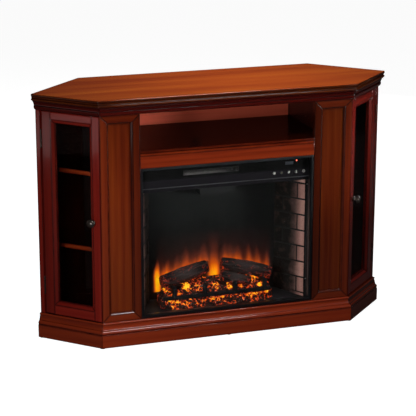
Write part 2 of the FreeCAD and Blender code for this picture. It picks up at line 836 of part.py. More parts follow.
def fascia():
    half = casing_inner - window_edge_gap
    top = trim_inner_top + sheet
    plate = box(-half, half, glass_front_y, fascia_back_y, fascia_bottom, top)
    step_top = fascia_bottom + fascia_step_height
    plate = plate.cut(box(-width, width, glass_front_y - over, glass_front_y + fascia_step_depth,
                          fascia_bottom - over, step_top))
    bead_half = trim_inner_half_width - window_edge_gap
    plate = plate.fuse(rod((-bead_half, glass_front_y, step_top), (1, 0, 0), fascia_bead_radius, bead_half + bead_half))
    plate = plate.removeSplitter()
    plate = plate.cut(box(grille_x[0], grille_x[1], glass_front_y - over, fascia_back_y + over,
                          grille_bottom, grille_top))
    plate = plate.cut(box(display_x[0], display_x[1], glass_front_y - over, glass_front_y + display_thickness,
                          display_bottom, display_top))
    plate = plate.cut(rod((indicator_x, glass_front_y - over, indicator_height), (0, 1, 0),
                          indicator_radius, fascia_thickness + over + over))
    for x in button_places:
        plate = plate.cut(rod((x, glass_front_y - over, button_height), (0, 1, 0),
                              button_radius + button_clearance, fascia_thickness + over + over))
    for x in (board_left + standoff_radius, board_right - standoff_radius):
        for z in (board_low + standoff_radius, board_high - standoff_radius):
            plate = plate.fuse(rod((x, fascia_back_y, z), (0, 1, 0), standoff_radius, board_y - fascia_back_y))
    save("control_fascia", [plate.removeSplitter()])
    save("display_window", [box(display_x[0], display_x[1], glass_front_y, glass_front_y + display_thickness,
                                display_bottom, display_top)])
    save("power_indicator", [rod((indicator_x, glass_front_y - indicator_proud, indicator_height), (0, 1, 0),
                                 indicator_radius, fascia_thickness + indicator_proud)])
    save("outlet_grille", [outlet_grille()])


def outlet_grille():
    """Plate with rows of diamond holes, seated in the fascia's slot."""
    y0 = glass_front_y + fascia_step_depth
    plate = box(grille_x[0], grille_x[1], y0, y0 + grille_thickness, grille_bottom, grille_top)
    low = grille_bottom + grille_border
    row_height = (grille_top - grille_border - low) / grille_rows
    count = int((grille_x[1] - grille_x[0] - grille_border - grille_border) / grille_pitch)
    start = (grille_x[0] + grille_x[1] - count * grille_pitch) / 2
    half_x = (grille_pitch - grille_bar) / 2
    half_z = (row_height - grille_bar) / 2
    holes = []
    for row in range(grille_rows):
        for column in range(count):
            x = start + (column + 1 / 2) * grille_pitch
            z = low + (row + 1 / 2) * row_height
            corners = [Vector(x - half_x, y0 - over, z), Vector(x, y0 - over, z - half_z),
                       Vector(x + half_x, y0 - over, z), Vector(x, y0 - over, z + half_z)]
            wire = Part.makePolygon(corners + corners[:1])
            holes.append(Part.Face(wire).extrude(Vector(0, grille_thickness + over + over, 0)))
    return plate.cut(Part.makeCompound(holes))


def buttons():
    flange_y = fascia_back_y + button_free_gap
    stem_end = board_y - switch_depth - button_travel - button_free_gap
    switches = []
    for name, x in zip(button_names, button_places):
        start = glass_front_y - button_proud
        cap = rod((x, start, button_height), (0, 1, 0), button_radius, flange_y + button_flange - start)
        flange = rod((x, flange_y, button_height), (0, 1, 0), button_flange_radius, button_flange)
        stem = rod((x, flange_y, button_height), (0, 1, 0), button_stem_radius, stem_end - flange_y)
        save(name, [cap.fuse(flange).fuse(stem).removeSplitter()])
        switches.append(box(x - switch_size / 2, x + switch_size / 2, board_y - switch_depth, board_y,
                            button_height - switch_size / 2, button_height + switch_size / 2))
    board = box(board_left, board_right, board_y, board_y + board_thickness, board_low, board_high)
    save("control_board", [board] + switches)


def hearth():
    """Side panels, flame screen, ember bed, grate, logs and lamps."""
    front = Vector(brick_front_half_width, body_front_y + brick_front_depth, 0)
    back = Vector(brick_back_x, screen_y, 0)
    run = back - front
    run.normalize()
    outward = Vector(-run.y, run.x, 0) * -brick_thickness
    points = [(p.x, p.y) for p in (front, back, back + outward, front + outward)]
    panel = prism(points, hearth_floor, tray_height)
    panel = panel.cut(box(-width, width, screen_y, back_y, 0, height))
    save("brick_panels", [mirrored(panel), panel])
    half = brick_back_x + brick_thickness
    screen = box(-half, half, screen_y, screen_y + screen_thickness, hearth_floor, tray_height)
    save("flame_screen", [screen])

    grate = log_grate()
    save("log_grate", [grate])

    lamps = hearth_lamps()
    save("hearth_lamps", lamps)
    mound = ember_bed(0, 0)
    for x in (place * stretch for place in prop_across):
        mound = mound.fuse(box(x - prop_width / 2, x + prop_width / 2, body_front_y + prop_front,
                               body_front_y + prop_front + prop_depth, hearth_floor + ember_wall, prop_top))
    save("ember_bed", [mound.cut(ember_bed(ember_wall, over)).cut(grate)])
    logs = []
    for path, radii in ((left_log_path, left_log_radii), (right_log_path, right_log_radii),
                        (front_log_path, front_log_radii)):
        log = charred_log(path, radii).cut(mound).cut(grate)
        for other in logs:
            log = log.cut(other)
        logs.append(max(log.Solids, key=lambda solid: solid.Volume))
    save("logs", logs)


def log_grate():
    """Front bar with posts; the end posts carry rails that run back under the logs to a leg on the floor."""
    front = body_front_y + grate_front
    grate = box(grate_x[0], grate_x[1], front, front + grate_bar, grate_bottom, grate_bottom + grate_bar)
    for index in range(grate_posts):
        x = (grate_post_left + index * grate_post_pitch) * stretch
        x0 = x - grate_post_width / 2
        x1 = x + grate_post_width / 2
        grate = grate.fuse(box(x0, x1, front, front + grate_bar, grate_bottom, grate_post_top))
        if index in (0, grate_posts - 1):
            back = front + grate_rail_length
            rail = box(x0, x1, front, back, grate_post_top - grate_bar, grate_post_top)
            leg = box(x0, x1, back - grate_bar, back, hearth_floor, grate_post_top)
            grate = grate.fuse(rail).fuse(leg)
    return grate.removeSplitter()


def ember_bed(wall, below):
    """Mound of embers: one section along its length, its ends drawn in, smaller by a wall where hollow."""
    span = ember_back - ember_front - wall - wall
    rise = ember_height - wall
    points = [(body_front_y + ember_front + wall + share[0] * span, hearth_floor + share[1] * rise)
              for share in ember_shares]
    points[0] = (points[0][0], hearth_floor - below)
    points[-1] = (points[-1][0], hearth_floor - below)

    def section(x, size):
        middle = (points[0][0] + points[-1][0]) / 2
        corners = [Vector(x, middle + (y - middle) * size, hearth_floor - below + (z - hearth_floor + below) * size)
                   for y, z in points]
        return Part.makePolygon(corners + corners[:1])

    left = ember_x[0] + wall
    right = ember_x[1] - wall
    end_share = 1 - ember_end_taper / ember_height
    return Part.makeLoft([section(left, end_share), section(left + ember_end_taper, 1),
                          section(right - ember_end_taper, 1), section(right, end_share)], True, True)


def charred_log(path, radii):
    """A split log with flat facets, along three points in X, depth from the front and height over the base."""
    wires = []
    points = [Vector(x * stretch, body_front_y + deep, base_height + z) for x, deep, z in path]
    along = points[-1] - points[0]
    along.normalize()
    side = along.cross(Vector(0, 0, 1))
    side.normalize()
    rise = side.cross(along)
    for number, (point, radius) in enumerate(zip(points, radii)):
        corners = []
        for facet in range(log_facets):
            turn = 2 * math.pi * facet / log_facets
            reach = radius * log_bark_shares[(facet + number) % log_facets]
            corners.append(point + side * (reach * math.cos(turn)) + rise * (reach * math.sin(turn)))
        wires.append(Part.makePolygon(corners + corners[:1]))
    return Part.makeLoft(wires, True, True)


def hearth_lamps():
    lamps = []
    y = screen_y - lamp_from_screen
    for x in (place * stretch for place in lamp_across):
        socket = rod((x, y, hearth_floor), (0, 0, 1), lamp_socket_radius, lamp_socket_height)
        neck_z = hearth_floor + lamp_socket_height
        neck = rod((x, y, neck_z), (0, 0, 1), lamp_neck_radius, lamp_neck_height)
        bulb = Part.makeSphere(lamp_bulb_radius, Vector(x, y, neck_z + lamp_neck_height + lamp_bulb_radius / 2))
        bulb = bulb.cut(box(x - width, x + width, y - depth, y + depth, 0, neck_z))
        lamps += [socket, neck.fuse(bulb).removeSplitter()]
    return lamps


def flame_works():
    """Spindle with bright blades behind the screen, and its motor."""
    y = screen_y + spindle_from_screen
    start = spindle_x[0] - sheet - spindle_radius
    end = spindle_x[1] + sheet + motor_end_gap + motor_length / 2
    spindle = rod((start, y, spindle_height), (1, 0, 0), spindle_radius, end - start)
    blade_length = spindle_blade_length * stretch
    run = (spindle_x[1] - spindle_x[0] - blade_length) / spindle_blades
    blades = []
    for index in range(spindle_blades):
        x = spindle_x[0] + run * (index + 1 / 2)
        blade = box(x, x + blade_length, y - spindle_blade_radius, y + spindle_blade_radius,
                    spindle_height - spindle_blade_thickness / 2, spindle_height + spindle_blade_thickness / 2)
        blade.rotate(Vector(x, y, spindle_height), Vector(1, 0, 0), spindle_blade_step * index)
        blades.append(blade)
    save("flame_spindle", [spindle.multiFuse(blades).removeSplitter()])
    motor_x = spindle_x[1] + sheet
    motor = rod((motor_x, y, spindle_height), (1, 0, 0), motor_radius, motor_length)
    bore = rod((motor_x - over, y, spindle_height), (1, 0, 0), spindle_radius + bearing_clearance,
               over + motor_end_gap + motor_end_gap + motor_length / 2)
    save("spindle_motor", [motor.cut(bore)])


def hood(wall):
    """Tapered box that hangs below the tray, or its hollow when a wall is given."""
    top = tray_height + wall + (over if wall else 0)
    low = hood_bottom + wall
    half = hood_half_width - wall
    corners = [Vector(-half, 0, top), Vector(half, 0, top), Vector(half, 0, tray_height),
               Vector(half - hood_taper, 0, low), Vector(-half + hood_taper, 0, low), Vector(-half, 0, tray_height)]
    if not wall:
        corners = [corners[5], corners[2], corners[3], corners[4]]
    face = Part.Face(Part.makePolygon(corners + corners[:1]))
    face.translate(Vector(0, body_front_y + hood_front + wall, 0))
    return face.extrude(Vector(0, hood_back - hood_front - wall - wall, 0))


def heater():
    """Tray over the hearth with a hood, an air duct behind the grille, its element, fan wheel and motor."""
    tray_back = screen_y + screen_thickness
    tray = box(-casing_inner, casing_inner, glass_back_y, tray_back, tray_height, tray_height + sheet)
    tray = tray.fuse(hood(0)).removeSplitter().cut(hood(sheet))
    save("heater_tray", [tray])

    left = grille_x[0] - duct_margin
    right = grille_x[1] + duct_margin
    duct_back = fascia_back_y + duct_depth
    duct = box(left, right, fascia_back_y, duct_back, duct_bottom, duct_top)
    duct = duct.cut(box(left + duct_wall, right - duct_wall, fascia_back_y - over, duct_back + over,
                        duct_bottom + duct_wall, duct_top - duct_wall))
    feet = []
    for x in (left, right - duct_wall):
        feet.append(box(x, x + duct_wall, fascia_back_y, duct_back, tray_height + sheet, duct_bottom))
    wheel_y = glass_back_y + blower_from_glass
    wheel_z = (duct_bottom + duct_top) / 2
    bore = rod((left - over, wheel_y, wheel_z), (1, 0, 0), blower_hub_radius + bearing_clearance,
               right - left + over + over)
    save("heater_duct", [duct.multiFuse(feet).removeSplitter().cut(bore)])

    wheel_left = left + duct_wall + blower_end_gap
    wheel_right = right - duct_wall - blower_end_gap
    motor_x = right + motor_end_gap
    start = left - duct_wall
    wheel = rod((start, wheel_y, wheel_z), (1, 0, 0), blower_hub_radius, motor_x + blower_motor_length / 2 - start)
    parts = []
    for x in (wheel_left, (wheel_left + wheel_right - blower_disc) / 2, wheel_right - blower_disc):
        parts.append(rod((x, wheel_y, wheel_z), (1, 0, 0), blower_radius, blower_disc))
    for index in range(blower_vanes):
        vane = box(wheel_left, wheel_right, wheel_y + blower_radius - blower_vane_width, wheel_y + blower_radius,
                   wheel_z - blower_vane_thickness / 2, wheel_z + blower_vane_thickness / 2)
        vane.rotate(Vector(0, wheel_y, wheel_z), Vector(1, 0, 0), math.degrees(2 * math.pi * index / blower_vanes))
        parts.append(vane)
    save("blower_wheel", [wheel.multiFuse(parts).removeSplitter()])
    motor = rod((right, wheel_y, wheel_z), (1, 0, 0), blower_motor_radius, blower_motor_length)
    bore = rod((right - over, wheel_y, wheel_z), (1, 0, 0), blower_hub_radius + bearing_clearance,
               over + motor_end_gap + motor_end_gap + blower_motor_length / 2)
    save("blower_motor", [motor.cut(bore)])

    y0 = fascia_back_y + element_from_glass
    inner_left = left + duct_wall
    inner_right = right - duct_wall
    low = duct_bottom + duct_wall
    high = duct_top - duct_wall
    frame = box(inner_left, inner_right, y0, y0 + element_thickness, low, high)
    frame = frame.cut(box(inner_left + element_frame, inner_right - element_frame, y0 - over,
                          y0 + element_thickness + over, low + element_frame, high - element_frame))
    rods = []
    pitch = (inner_right - inner_left - element_frame - element_frame) / element_coils
    for index in range(element_coils):
        x = inner_left + element_frame + pitch * (index + 1 / 2)
        rods.append(rod((x, y0 + element_thickness / 2, low + element_frame / 2), (0, 0, 1), element_rod_radius,
                        high - low - element_frame))
    save("heating_element", [frame.multiFuse(rods).removeSplitter()])


def bracket_shanks(member):
    """Shanks of the right-hand screws that hold the insert: into the pilaster or into the casing."""
    shanks = []
    for z in bracket_heights:
        if member == "pilaster":
            x = casing_half_width + bracket_length / 2
            shanks.append(rod((x, face_back_y + bracket_sheet - screw_length, z), (0, 1, 0),
                              screw_radius, screw_length))
        else:
            y = face_back_y + bracket_length / 2
            shanks.append(rod((casing_half_width + bracket_sheet - screw_length / 2, y, z), (1, 0, 0),
                              screw_radius, screw_length / 2))
    return shanks


def fixings():
    brackets = []
    screws = []
    for index, z in enumerate(bracket_heights):
        low = z - bracket_height / 2
        high = z + bracket_height / 2
        along = box(casing_half_width, casing_half_width + bracket_sheet, face_back_y,
                    face_back_y + bracket_length, low, high)
        across = box(casing_half_width, casing_half_width + bracket_length, face_back_y,
                     face_back_y + bracket_sheet, low, high)
        bracket = along.fuse(across).removeSplitter()
        into_pilaster = bracket_shanks("pilaster")[index]
        into_casing = bracket_shanks("casing")[index]
        bracket = bracket.cut(into_pilaster).cut(into_casing)
        x = casing_half_width + bracket_length / 2
        y = face_back_y + bracket_length / 2
        head = rod((x, face_back_y + bracket_sheet, z), (0, 1, 0), screw_head_radius, screw_head_height)
        screw = into_pilaster.fuse(head)
        head = rod((casing_half_width + bracket_sheet, y, z), (1, 0, 0), screw_head_radius, screw_head_height)
        pair = [screw, into_casing.fuse(head)]
        brackets += [bracket, mirrored(bracket)]
        screws += pair + [mirrored(shape) for shape in pair]
    save("mounting_brackets", brackets)
    save("bracket_screws", screws)

    start = casing_back_y - sheet - gland_flange_thickness
    gland = rod((gland_x, start, gland_height), (0, 1, 0), gland_flange, gland_flange_thickness)
    gland = gland.fuse(rod((gland_x, start, gland_height), (0, 1, 0), gland_radius,
                           gland_length + gland_flange_thickness))
    gland = gland.cut(rod((gland_x, start - over, gland_height), (0, 1, 0), gland_bore,
                          gland_length + gland_flange_thickness + over + over))
    save("cord_gland", [gland.removeSplitter()])


os.makedirs("parts", exist_ok=True)
top_and_mouldings()
base_frame()
carcass()
media_bay()
pilasters()
doors()
casing()
fascia()
buttons()
hearth()
flame_works()
heater()
fixings()
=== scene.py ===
import math
import random

import bmesh
import bpy
import numpy as np
from mathutils import Matrix, Vector, noise


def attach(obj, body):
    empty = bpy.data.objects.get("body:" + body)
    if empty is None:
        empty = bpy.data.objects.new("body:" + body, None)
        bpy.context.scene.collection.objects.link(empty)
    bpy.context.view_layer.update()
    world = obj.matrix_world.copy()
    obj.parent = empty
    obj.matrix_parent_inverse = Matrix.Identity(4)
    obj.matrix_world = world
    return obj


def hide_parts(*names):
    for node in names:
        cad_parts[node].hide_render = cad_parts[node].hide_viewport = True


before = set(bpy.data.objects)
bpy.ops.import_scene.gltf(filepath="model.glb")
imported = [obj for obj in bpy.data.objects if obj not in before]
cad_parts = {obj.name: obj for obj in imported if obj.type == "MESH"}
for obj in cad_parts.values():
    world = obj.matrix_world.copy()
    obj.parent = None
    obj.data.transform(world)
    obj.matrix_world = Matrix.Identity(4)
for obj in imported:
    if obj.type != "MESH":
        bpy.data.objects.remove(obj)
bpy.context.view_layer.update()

# Places on the stand, in metres
body_front = -0.168
base_top = 0.083
cornice_bottom = 0.766
bay_half_width = 0.296
bay_back_half = 0.336
stain_low = 0.585
board_middle = 0.1835
slab_top = 0.819
front_arris = 0.427216
root_half = math.sqrt(0.5)
rear_line = 0.5955

# Doors, along the cut corner from its front arris
door_start = 0.002
door_length = 0.212289
latch_stile = 0.039
hinge_stile = 0.0455
rail_low = 0.129
rail_high = 0.726
door_bevel = 0.012

# Pilasters
pilaster_member = 0.029
panel_tongue = 0.006
panel_setback = 0.008

# Between the lower and the upper shelf behind the doors
shelf_split = 0.42
shelf_setback = 0.110

# A point this near a front face belongs to it and keeps the lighter tone where the rest of a board
# is painted into shade; and the painted shade on the slab's own edge
face_reach = 0.0008
slab_edge_shade = 0.20

# Firebox
trim_inner_half = 0.287
trim_inner_heights = (0.092, 0.578)
brick_front = (0.280, -0.127)
brick_back = (0.220, 0.0)
brick_thickness = 0.008
hearth_floor = 0.0845
tray_height = 0.500
screen_front = 0.0
screen_back = 0.003
screen_half = 0.228
bed_left = -0.209
bed_right = 0.183
bed_front = -0.122
bed_back = -0.018
bed_height = 0.084
bed_shares = ((0.0, 0.0), (0.05, 0.5), (0.14, 0.66), (0.36, 0.8), (0.62, 1.0), (0.9, 0.86),
              (1.0, 0.0))
bed_end_taper = 0.045
mound_sunk = 0.0035
bed_dark_end = -0.204
bed_dark_fade = 0.012
bed_least_heat = 0.10
fascia_shade = 0.540
fascia_bead = 0.512
grille_sides = (-0.148, 0.043)
grille_heights = (0.5475, 0.5645)
grille_front = -0.1453
grille_depth = 0.0012
button_front = -0.1475
button_height = 0.530
button_places = {
    "flame": 0.165, "timer": 0.1906, "heat": 0.2162, "temperature": 0.2418, "power": 0.2674}
knob_height = 0.418
knob_across = 0.030


def clamp(value, low=0.0, high=1.0):
    return min(high, max(low, value))


# Shader building

def plug(tree, value, socket):
    """Links another socket's value into this one, or sets a plain value or colour on it."""
    if isinstance(value, bpy.types.NodeSocket):
        tree.links.new(value, socket)
    elif socket.type == "RGBA" and len(value) == 3:
        socket.default_value = (*value, 1.0)
    else:
        socket.default_value = value


def add(tree, kind, inputs=None, **settings):
    node = tree.nodes.new(kind)
    for key, value in settings.items():
        setattr(node, key, value)
    for key, value in (inputs or {}).items():
        plug(tree, value, node.inputs[key])
    return node


def calc(tree, operation, first, second=0.0, third=0.0, clamp=False):
    values = {0: first, 1: second}
    if operation in ("MULTIPLY_ADD", "COMPARE"):
        values[2] = third
    return add(tree, "ShaderNodeMath", values, operation=operation, use_clamp=clamp).outputs[0]


def stretch(tree, vector, scale):
    return add(tree, "ShaderNodeVectorMath", {0: vector, 1: scale}, operation="MULTIPLY").outputs[0]


def cloud(tree, vector, scale, detail=2.0, roughness=0.5, distortion=0.0):
    return add(tree, "ShaderNodeTexNoise", {
        "Vector": vector, "Scale": scale, "Detail": detail, "Roughness": roughness,
        "Distortion": distortion}).outputs["Fac"]


def span(tree, value, low, high, to_low=0.0, to_high=1.0):
    """A smooth step of the value from one range to another."""
    return add(tree, "ShaderNodeMapRange", {
        "Value": value, "From Min": low, "From Max": high, "To Min": to_low, "To Max": to_high},
        interpolation_type="SMOOTHSTEP").outputs["Result"]


def tint(tree, factor, first, second, mode="MIX"):
    values = {0: factor, 6: first, 7: second}
    return add(tree, "ShaderNodeMix", values, data_type="RGBA", blend_type=mode).outputs[2]


def start_group(name, inputs, outputs):
    tree = bpy.data.node_groups.new(name, "ShaderNodeTree")
    kinds = {"v": "NodeSocketVector", "f": "NodeSocketFloat", "c": "NodeSocketColor"}
    for label, kind, value in inputs:
        socket = tree.interface.new_socket(label, in_out="INPUT", socket_type=kinds[kind])
        if value is not None:
            socket.default_value = value
    for label, kind in outputs:
        tree.interface.new_socket(label, in_out="OUTPUT", socket_type=kinds[kind])
    return tree, tree.nodes.new("NodeGroupInput").outputs, tree.nodes.new("NodeGroupOutput").inputs


def use_group(tree, group, inputs):
    return add(tree, "ShaderNodeGroup", inputs, node_tree=group).outputs


def start_material(name):
    material = bpy.data.materials.new(name)
    material.use_nodes = True
    tree = material.node_tree
    return material, tree, tree.nodes["Principled BSDF"]


def feed(tree, shader, **values):
    """Sets the shader's inputs; an underscore stands for the space in a socket's name."""
    for key, value in values.items():
        plug(tree, value, shader.inputs[key.replace("_", " ")])


def roughen(tree, shader, height, distance, strength=1.0):
    bump = add(tree, "ShaderNodeBump", {
        "Height": height, "Distance": distance, "Strength": strength})
    tree.links.new(bump.outputs[0], shader.inputs["Normal"])


def object_place(tree):
    return add(tree, "ShaderNodeTexCoord").outputs["Object"]


def kept(tree, name, output="Fac"):
    """A value kept on the piece's points."""
    return add(tree, "ShaderNodeAttribute", attribute_name=name).outputs[output]


def by_ray(tree, ray, others, shader):
    """One shader for the named kind of ray and another for all the rest."""
    path = add(tree, "ShaderNodeLightPath").outputs[ray]
    return add(tree, "ShaderNodeMixShader", {0: path, 1: others, 2: shader}).outputs[0]


# Effects that more than one finish uses

def make_timber_figure():
    tree, given, result = start_group(
        "timber_figure",
        [("Figure", "v", None), ("Rim", "f", 0.0), ("Tone", "f", 1.0), ("Light", "c", None),
         ("Middle", "c", None), ("Dark", "c", None), ("Glaze_Shade", "f", 0.8)],
        [("Colour", "c"), ("Roughness", "f"), ("Height", "f")])
    place = given["Figure"]
    broad = cloud(tree, stretch(tree, place, (0.9, 13.0, 13.0)), 1.0, 3.0, 0.55, 0.3)
    streak = cloud(tree, stretch(tree, place, (5.0, 150.0, 150.0)), 1.0, 5.0, 0.6, 0.35)
    arcs = add(tree, "ShaderNodeTexWave", {
        "Vector": stretch(tree, place, (0.8, 11.0, 11.0)), "Scale": 1.2, "Distortion": 7.0,
        "Detail": 3.0, "Detail Scale": 0.8, "Detail Roughness": 0.6},
        wave_type="BANDS", bands_direction="Y").outputs["Fac"]
    pore = cloud(tree, stretch(tree, place, (70.0, 1500.0, 1500.0)), 1.0, 2.0, 0.5)
    mixed = calc(tree, "MULTIPLY_ADD", arcs, 0.10, calc(tree, "MULTIPLY", broad, 0.62))
    mixed = calc(tree, "MULTIPLY_ADD", streak, 0.28, mixed)
    colour = tint(tree, span(tree, mixed, 0.30, 0.54), given["Dark"], given["Middle"])
    colour = tint(tree, span(tree, mixed, 0.50, 0.74), colour, given["Light"])
    pores = span(tree, pore, 0.60, 0.72)
    colour = tint(tree, calc(tree, "MULTIPLY", pores, 0.30), colour, given["Dark"])
    patchy = span(tree, cloud(tree, place, 22.0, 3.0), 0.2, 0.7, 0.55, 1.0)
    # Darkening near arrises and joints: partly glaze, partly painted shade in the creases.
    glaze_and_crease_shade = calc(tree, "MULTIPLY", given["Rim"], given["Glaze_Shade"])
    glaze_and_crease_shade = calc(tree, "MULTIPLY", glaze_and_crease_shade, patchy, clamp=True)
    shadow = tint(tree, 0.82, given["Dark"], (0.004, 0.001, 0.001))
    # The tone brings random variation and painted light and shade into the colour.
    toned = tint(tree, 1.0, tint(tree, glaze_and_crease_shade, colour, shadow), given["Tone"], "MULTIPLY")
    tree.links.new(toned, result["Colour"])
    rough = calc(tree, "MULTIPLY_ADD", streak, 0.08, 0.12)
    tree.links.new(calc(tree, "MULTIPLY_ADD", glaze_and_crease_shade, 0.12, rough), result["Roughness"])
    tree.links.new(calc(tree, "MULTIPLY_ADD", pores, -1.0, streak), result["Height"])
    return tree


def make_cast_surface():
    tree, given, result = start_group(
        "cast_surface", [("Place", "v", None), ("Scale", "f", 900.0)],
        [("Tone", "f"), ("Height", "f")])
    fine = cloud(tree, given["Place"], given["Scale"], 3.0, 0.6)
    wide = cloud(tree, given["Place"], 14.0, 4.0, 0.6)
    tree.links.new(span(tree, wide, 0.3, 0.75), result["Tone"])
    tree.links.new(calc(tree, "MULTIPLY_ADD", wide, 0.3, fine), result["Height"])
    return tree


def make_brushing():
    tree, given, result = start_group(
        "brushing", [("Place", "v", None), ("Stretch", "v", None)],
        [("Tone", "f"), ("Height", "f")])
    lines = cloud(tree, stretch(tree, given["Place"], given["Stretch"]), 1.0, 4.0, 0.7)
    wide = cloud(tree, given["Place"], 9.0, 3.0)
    tone = calc(tree, "MULTIPLY_ADD", wide, 0.4, calc(tree, "MULTIPLY", lines, 0.6))
    tree.links.new(tone, result["Tone"])
    tree.links.new(lines, result["Height"])
    return tree


def make_ember_heat():
    """Broken glow of embers: black crust with red, orange and yellow where it is cracked."""
    tree, given, result = start_group(
        "ember_heat",
        [("Place", "v", None), ("Heat", "f", 1.0), ("Scale", "f", 60.0), ("Crust", "f", 0.0)],
        [("Glow", "c")])
    wander = add(tree, "ShaderNodeTexNoise", {
        "Vector": given["Place"], "Scale": 90.0, "Detail": 2.0}).outputs["Color"]
    swayed = add(tree, "ShaderNodeVectorMath", {
        0: wander, 1: (0.012, 0.012, 0.012), 2: given["Place"]},
        operation="MULTIPLY_ADD").outputs[0]
    cells = add(tree, "ShaderNodeTexVoronoi", {
        "Vector": swayed, "Scale": given["Scale"], "Randomness": 1.0},
        feature="DISTANCE_TO_EDGE").outputs["Distance"]
    plates = span(tree, cells, 0.02, 0.26)
    blotch = span(tree, cloud(tree, given["Place"], 70.0, 2.0, 0.5), 0.34, 0.64, 0.65, -0.15)
    crust = calc(tree, "ADD", calc(tree, "MULTIPLY_ADD", plates, 0.60, blotch), given["Crust"])
    heat = calc(tree, "SUBTRACT", calc(tree, "MULTIPLY", given["Heat"], 1.25), crust)
    colour = tint(tree, span(tree, heat, -0.10, 0.22), (0.0, 0.0, 0.0), (0.16, 0.009, 0.003))
    colour = tint(tree, span(tree, heat, 0.18, 0.48), colour, (0.56, 0.045, 0.003))
    colour = tint(tree, span(tree, heat, 0.45, 0.80), colour, (0.95, 0.25, 0.006))
    colour = tint(tree, span(tree, heat, 0.80, 1.20), colour, (1.06, 0.60, 0.02))
    tree.links.new(colour, result["Glow"])
    return tree


timber_figure = make_timber_figure()
cast_surface = make_cast_surface()
brushing = make_brushing()
ember_heat = make_ember_heat()


# Finishes

def lacquered_timber(name, light, middle, dark, glaze, coat=0.7, index=1.5):
    """Veneer under gloss lacquer: figure along each board's grain, and darkening at the arrises
    that is partly glaze and partly painted shade in creases and joints; the tone also carries
    painted light and shade.
    """
    material, tree, shader = start_material(name)
    tone = kept(tree, "tone")
    wood = use_group(tree, timber_figure, {
        "Figure": kept(tree, "figure", "Vector"), "Rim": kept(tree, "rim"), "Tone": tone,
        "Light": light, "Middle": middle, "Dark": dark, "Glaze_Shade": glaze})
    feed(tree, shader, Base_Color=wood["Colour"], Roughness=wood["Roughness"],
         Coat_Weight=span(tree, tone, 0.15, 0.45, 0.0, coat), Coat_Roughness=0.07,
         Specular_IOR_Level=0.35, IOR=index)
    roughen(tree, shader, wood["Height"], 0.00012, 0.35)
    return material


def plain_timber(name, light, middle, dark, roughness):
    """Bare or hidden wood on the object's own place: grain along X."""
    material, tree, shader = start_material(name)
    wood = use_group(tree, timber_figure, {
        "Figure": object_place(tree), "Rim": 0.0, "Light": light, "Middle": middle, "Dark": dark,
        "Glaze_Shade": 0.0})
    rough = calc(tree, "ADD", wood["Roughness"], roughness)
    feed(tree, shader, Base_Color=wood["Colour"], Roughness=rough, Specular_IOR_Level=0.3)
    roughen(tree, shader, wood["Height"], 0.00015, 0.5)
    return material


def board_behind_the_bay():
    """Stained board where the open bay shows it, lightened there as painted light; bare at the
    rear, and painted black as shade behind the doors.
    """
    material, tree, shader = start_material("hardboard")
    place = object_place(tree)
    split = add(tree, "ShaderNodeSeparateXYZ", {0: place}).outputs
    tones = {"stained_and_lit": ((0.86, 0.16, 0.09), (0.78, 0.13, 0.07), (0.50, 0.07, 0.04)),
             "bare": ((0.36, 0.20, 0.11), (0.28, 0.15, 0.08), (0.16, 0.08, 0.04))}
    wood = {part: use_group(tree, timber_figure, {
        "Figure": place, "Rim": 0.0, "Light": light, "Middle": middle, "Dark": dark, "Glaze_Shade": 0.0})
        for part, (light, middle, dark) in tones.items()}
    across = calc(tree, "LESS_THAN", calc(tree, "ABSOLUTE", split["X"]), bay_back_half)
    in_bay = calc(tree, "MULTIPLY", across, calc(tree, "GREATER_THAN", split["Z"], stain_low))
    outside = calc(tree, "GREATER_THAN", split["Y"], board_middle)
    # Black where the doors hide the board: painted shade; the stained part is lightened as painted
    # light.
    colour = tint(tree, in_bay, (0.006, 0.002, 0.0015), wood["stained_and_lit"]["Colour"])
    colour = tint(tree, outside, colour, wood["bare"]["Colour"])
    rough = calc(tree, "ADD", wood["bare"]["Roughness"], 0.15)
    feed(tree, shader, Base_Color=colour, Roughness=rough, Specular_IOR_Level=0.3)
    roughen(tree, shader, wood["bare"]["Height"], 0.00015, 0.5)
    return material


def coated(name, colour, rub, roughness, grain=900.0, metallic=0.0, coat=0.0, depth=0.00006):
    """Paint, powder coat, plastic or cast iron with a fine surface and faint wear."""
    material, tree, shader = start_material(name)
    surface = use_group(tree, cast_surface, {"Place": object_place(tree), "Scale": grain})
    feed(tree, shader, Base_Color=tint(tree, surface["Tone"], colour, rub), Metallic=metallic,
         Roughness=calc(tree, "MULTIPLY_ADD", surface["Tone"], 0.10, roughness),
         Coat_Weight=coat, Coat_Roughness=0.05, Specular_IOR_Level=0.35)
    roughen(tree, shader, surface["Height"], depth, 0.6)
    return material


def metal(name, bright, dull, lines, roughness):
    material, tree, shader = start_material(name)
    surface = use_group(tree, brushing, {"Place": object_place(tree), "Stretch": lines})
    feed(tree, shader, Base_Color=tint(tree, surface["Tone"], bright, dull), Metallic=1.0,
         Roughness=calc(tree, "MULTIPLY_ADD", surface["Tone"], 0.18, roughness))
    roughen(tree, shader, surface["Height"], 0.00002, 0.5)
    return material


def glazing(name, colour, roughness):
    """Clear glass that lets the lamps' light through, with faint smears."""
    material, tree, shader = start_material(name)
    smear = cloud(tree, object_place(tree), 7.0, 4.0, 0.6)
    colour = tint(tree, span(tree, smear, 0.3, 0.7), colour, (0.97, 0.98, 0.98))
    feed(tree, shader, Base_Color=colour, Transmission_Weight=1.0, IOR=1.07,
         Roughness=calc(tree, "MULTIPLY_ADD", smear, 0.02, roughness))
    clear = add(tree, "ShaderNodeBsdfTransparent", {"Color": (0.9, 0.92, 0.92)})
    surface = by_ray(tree, "Is Shadow Ray", shader.outputs[0], clear.outputs[0])
    tree.links.new(surface, tree.nodes["Material Output"].inputs["Surface"])
    return material


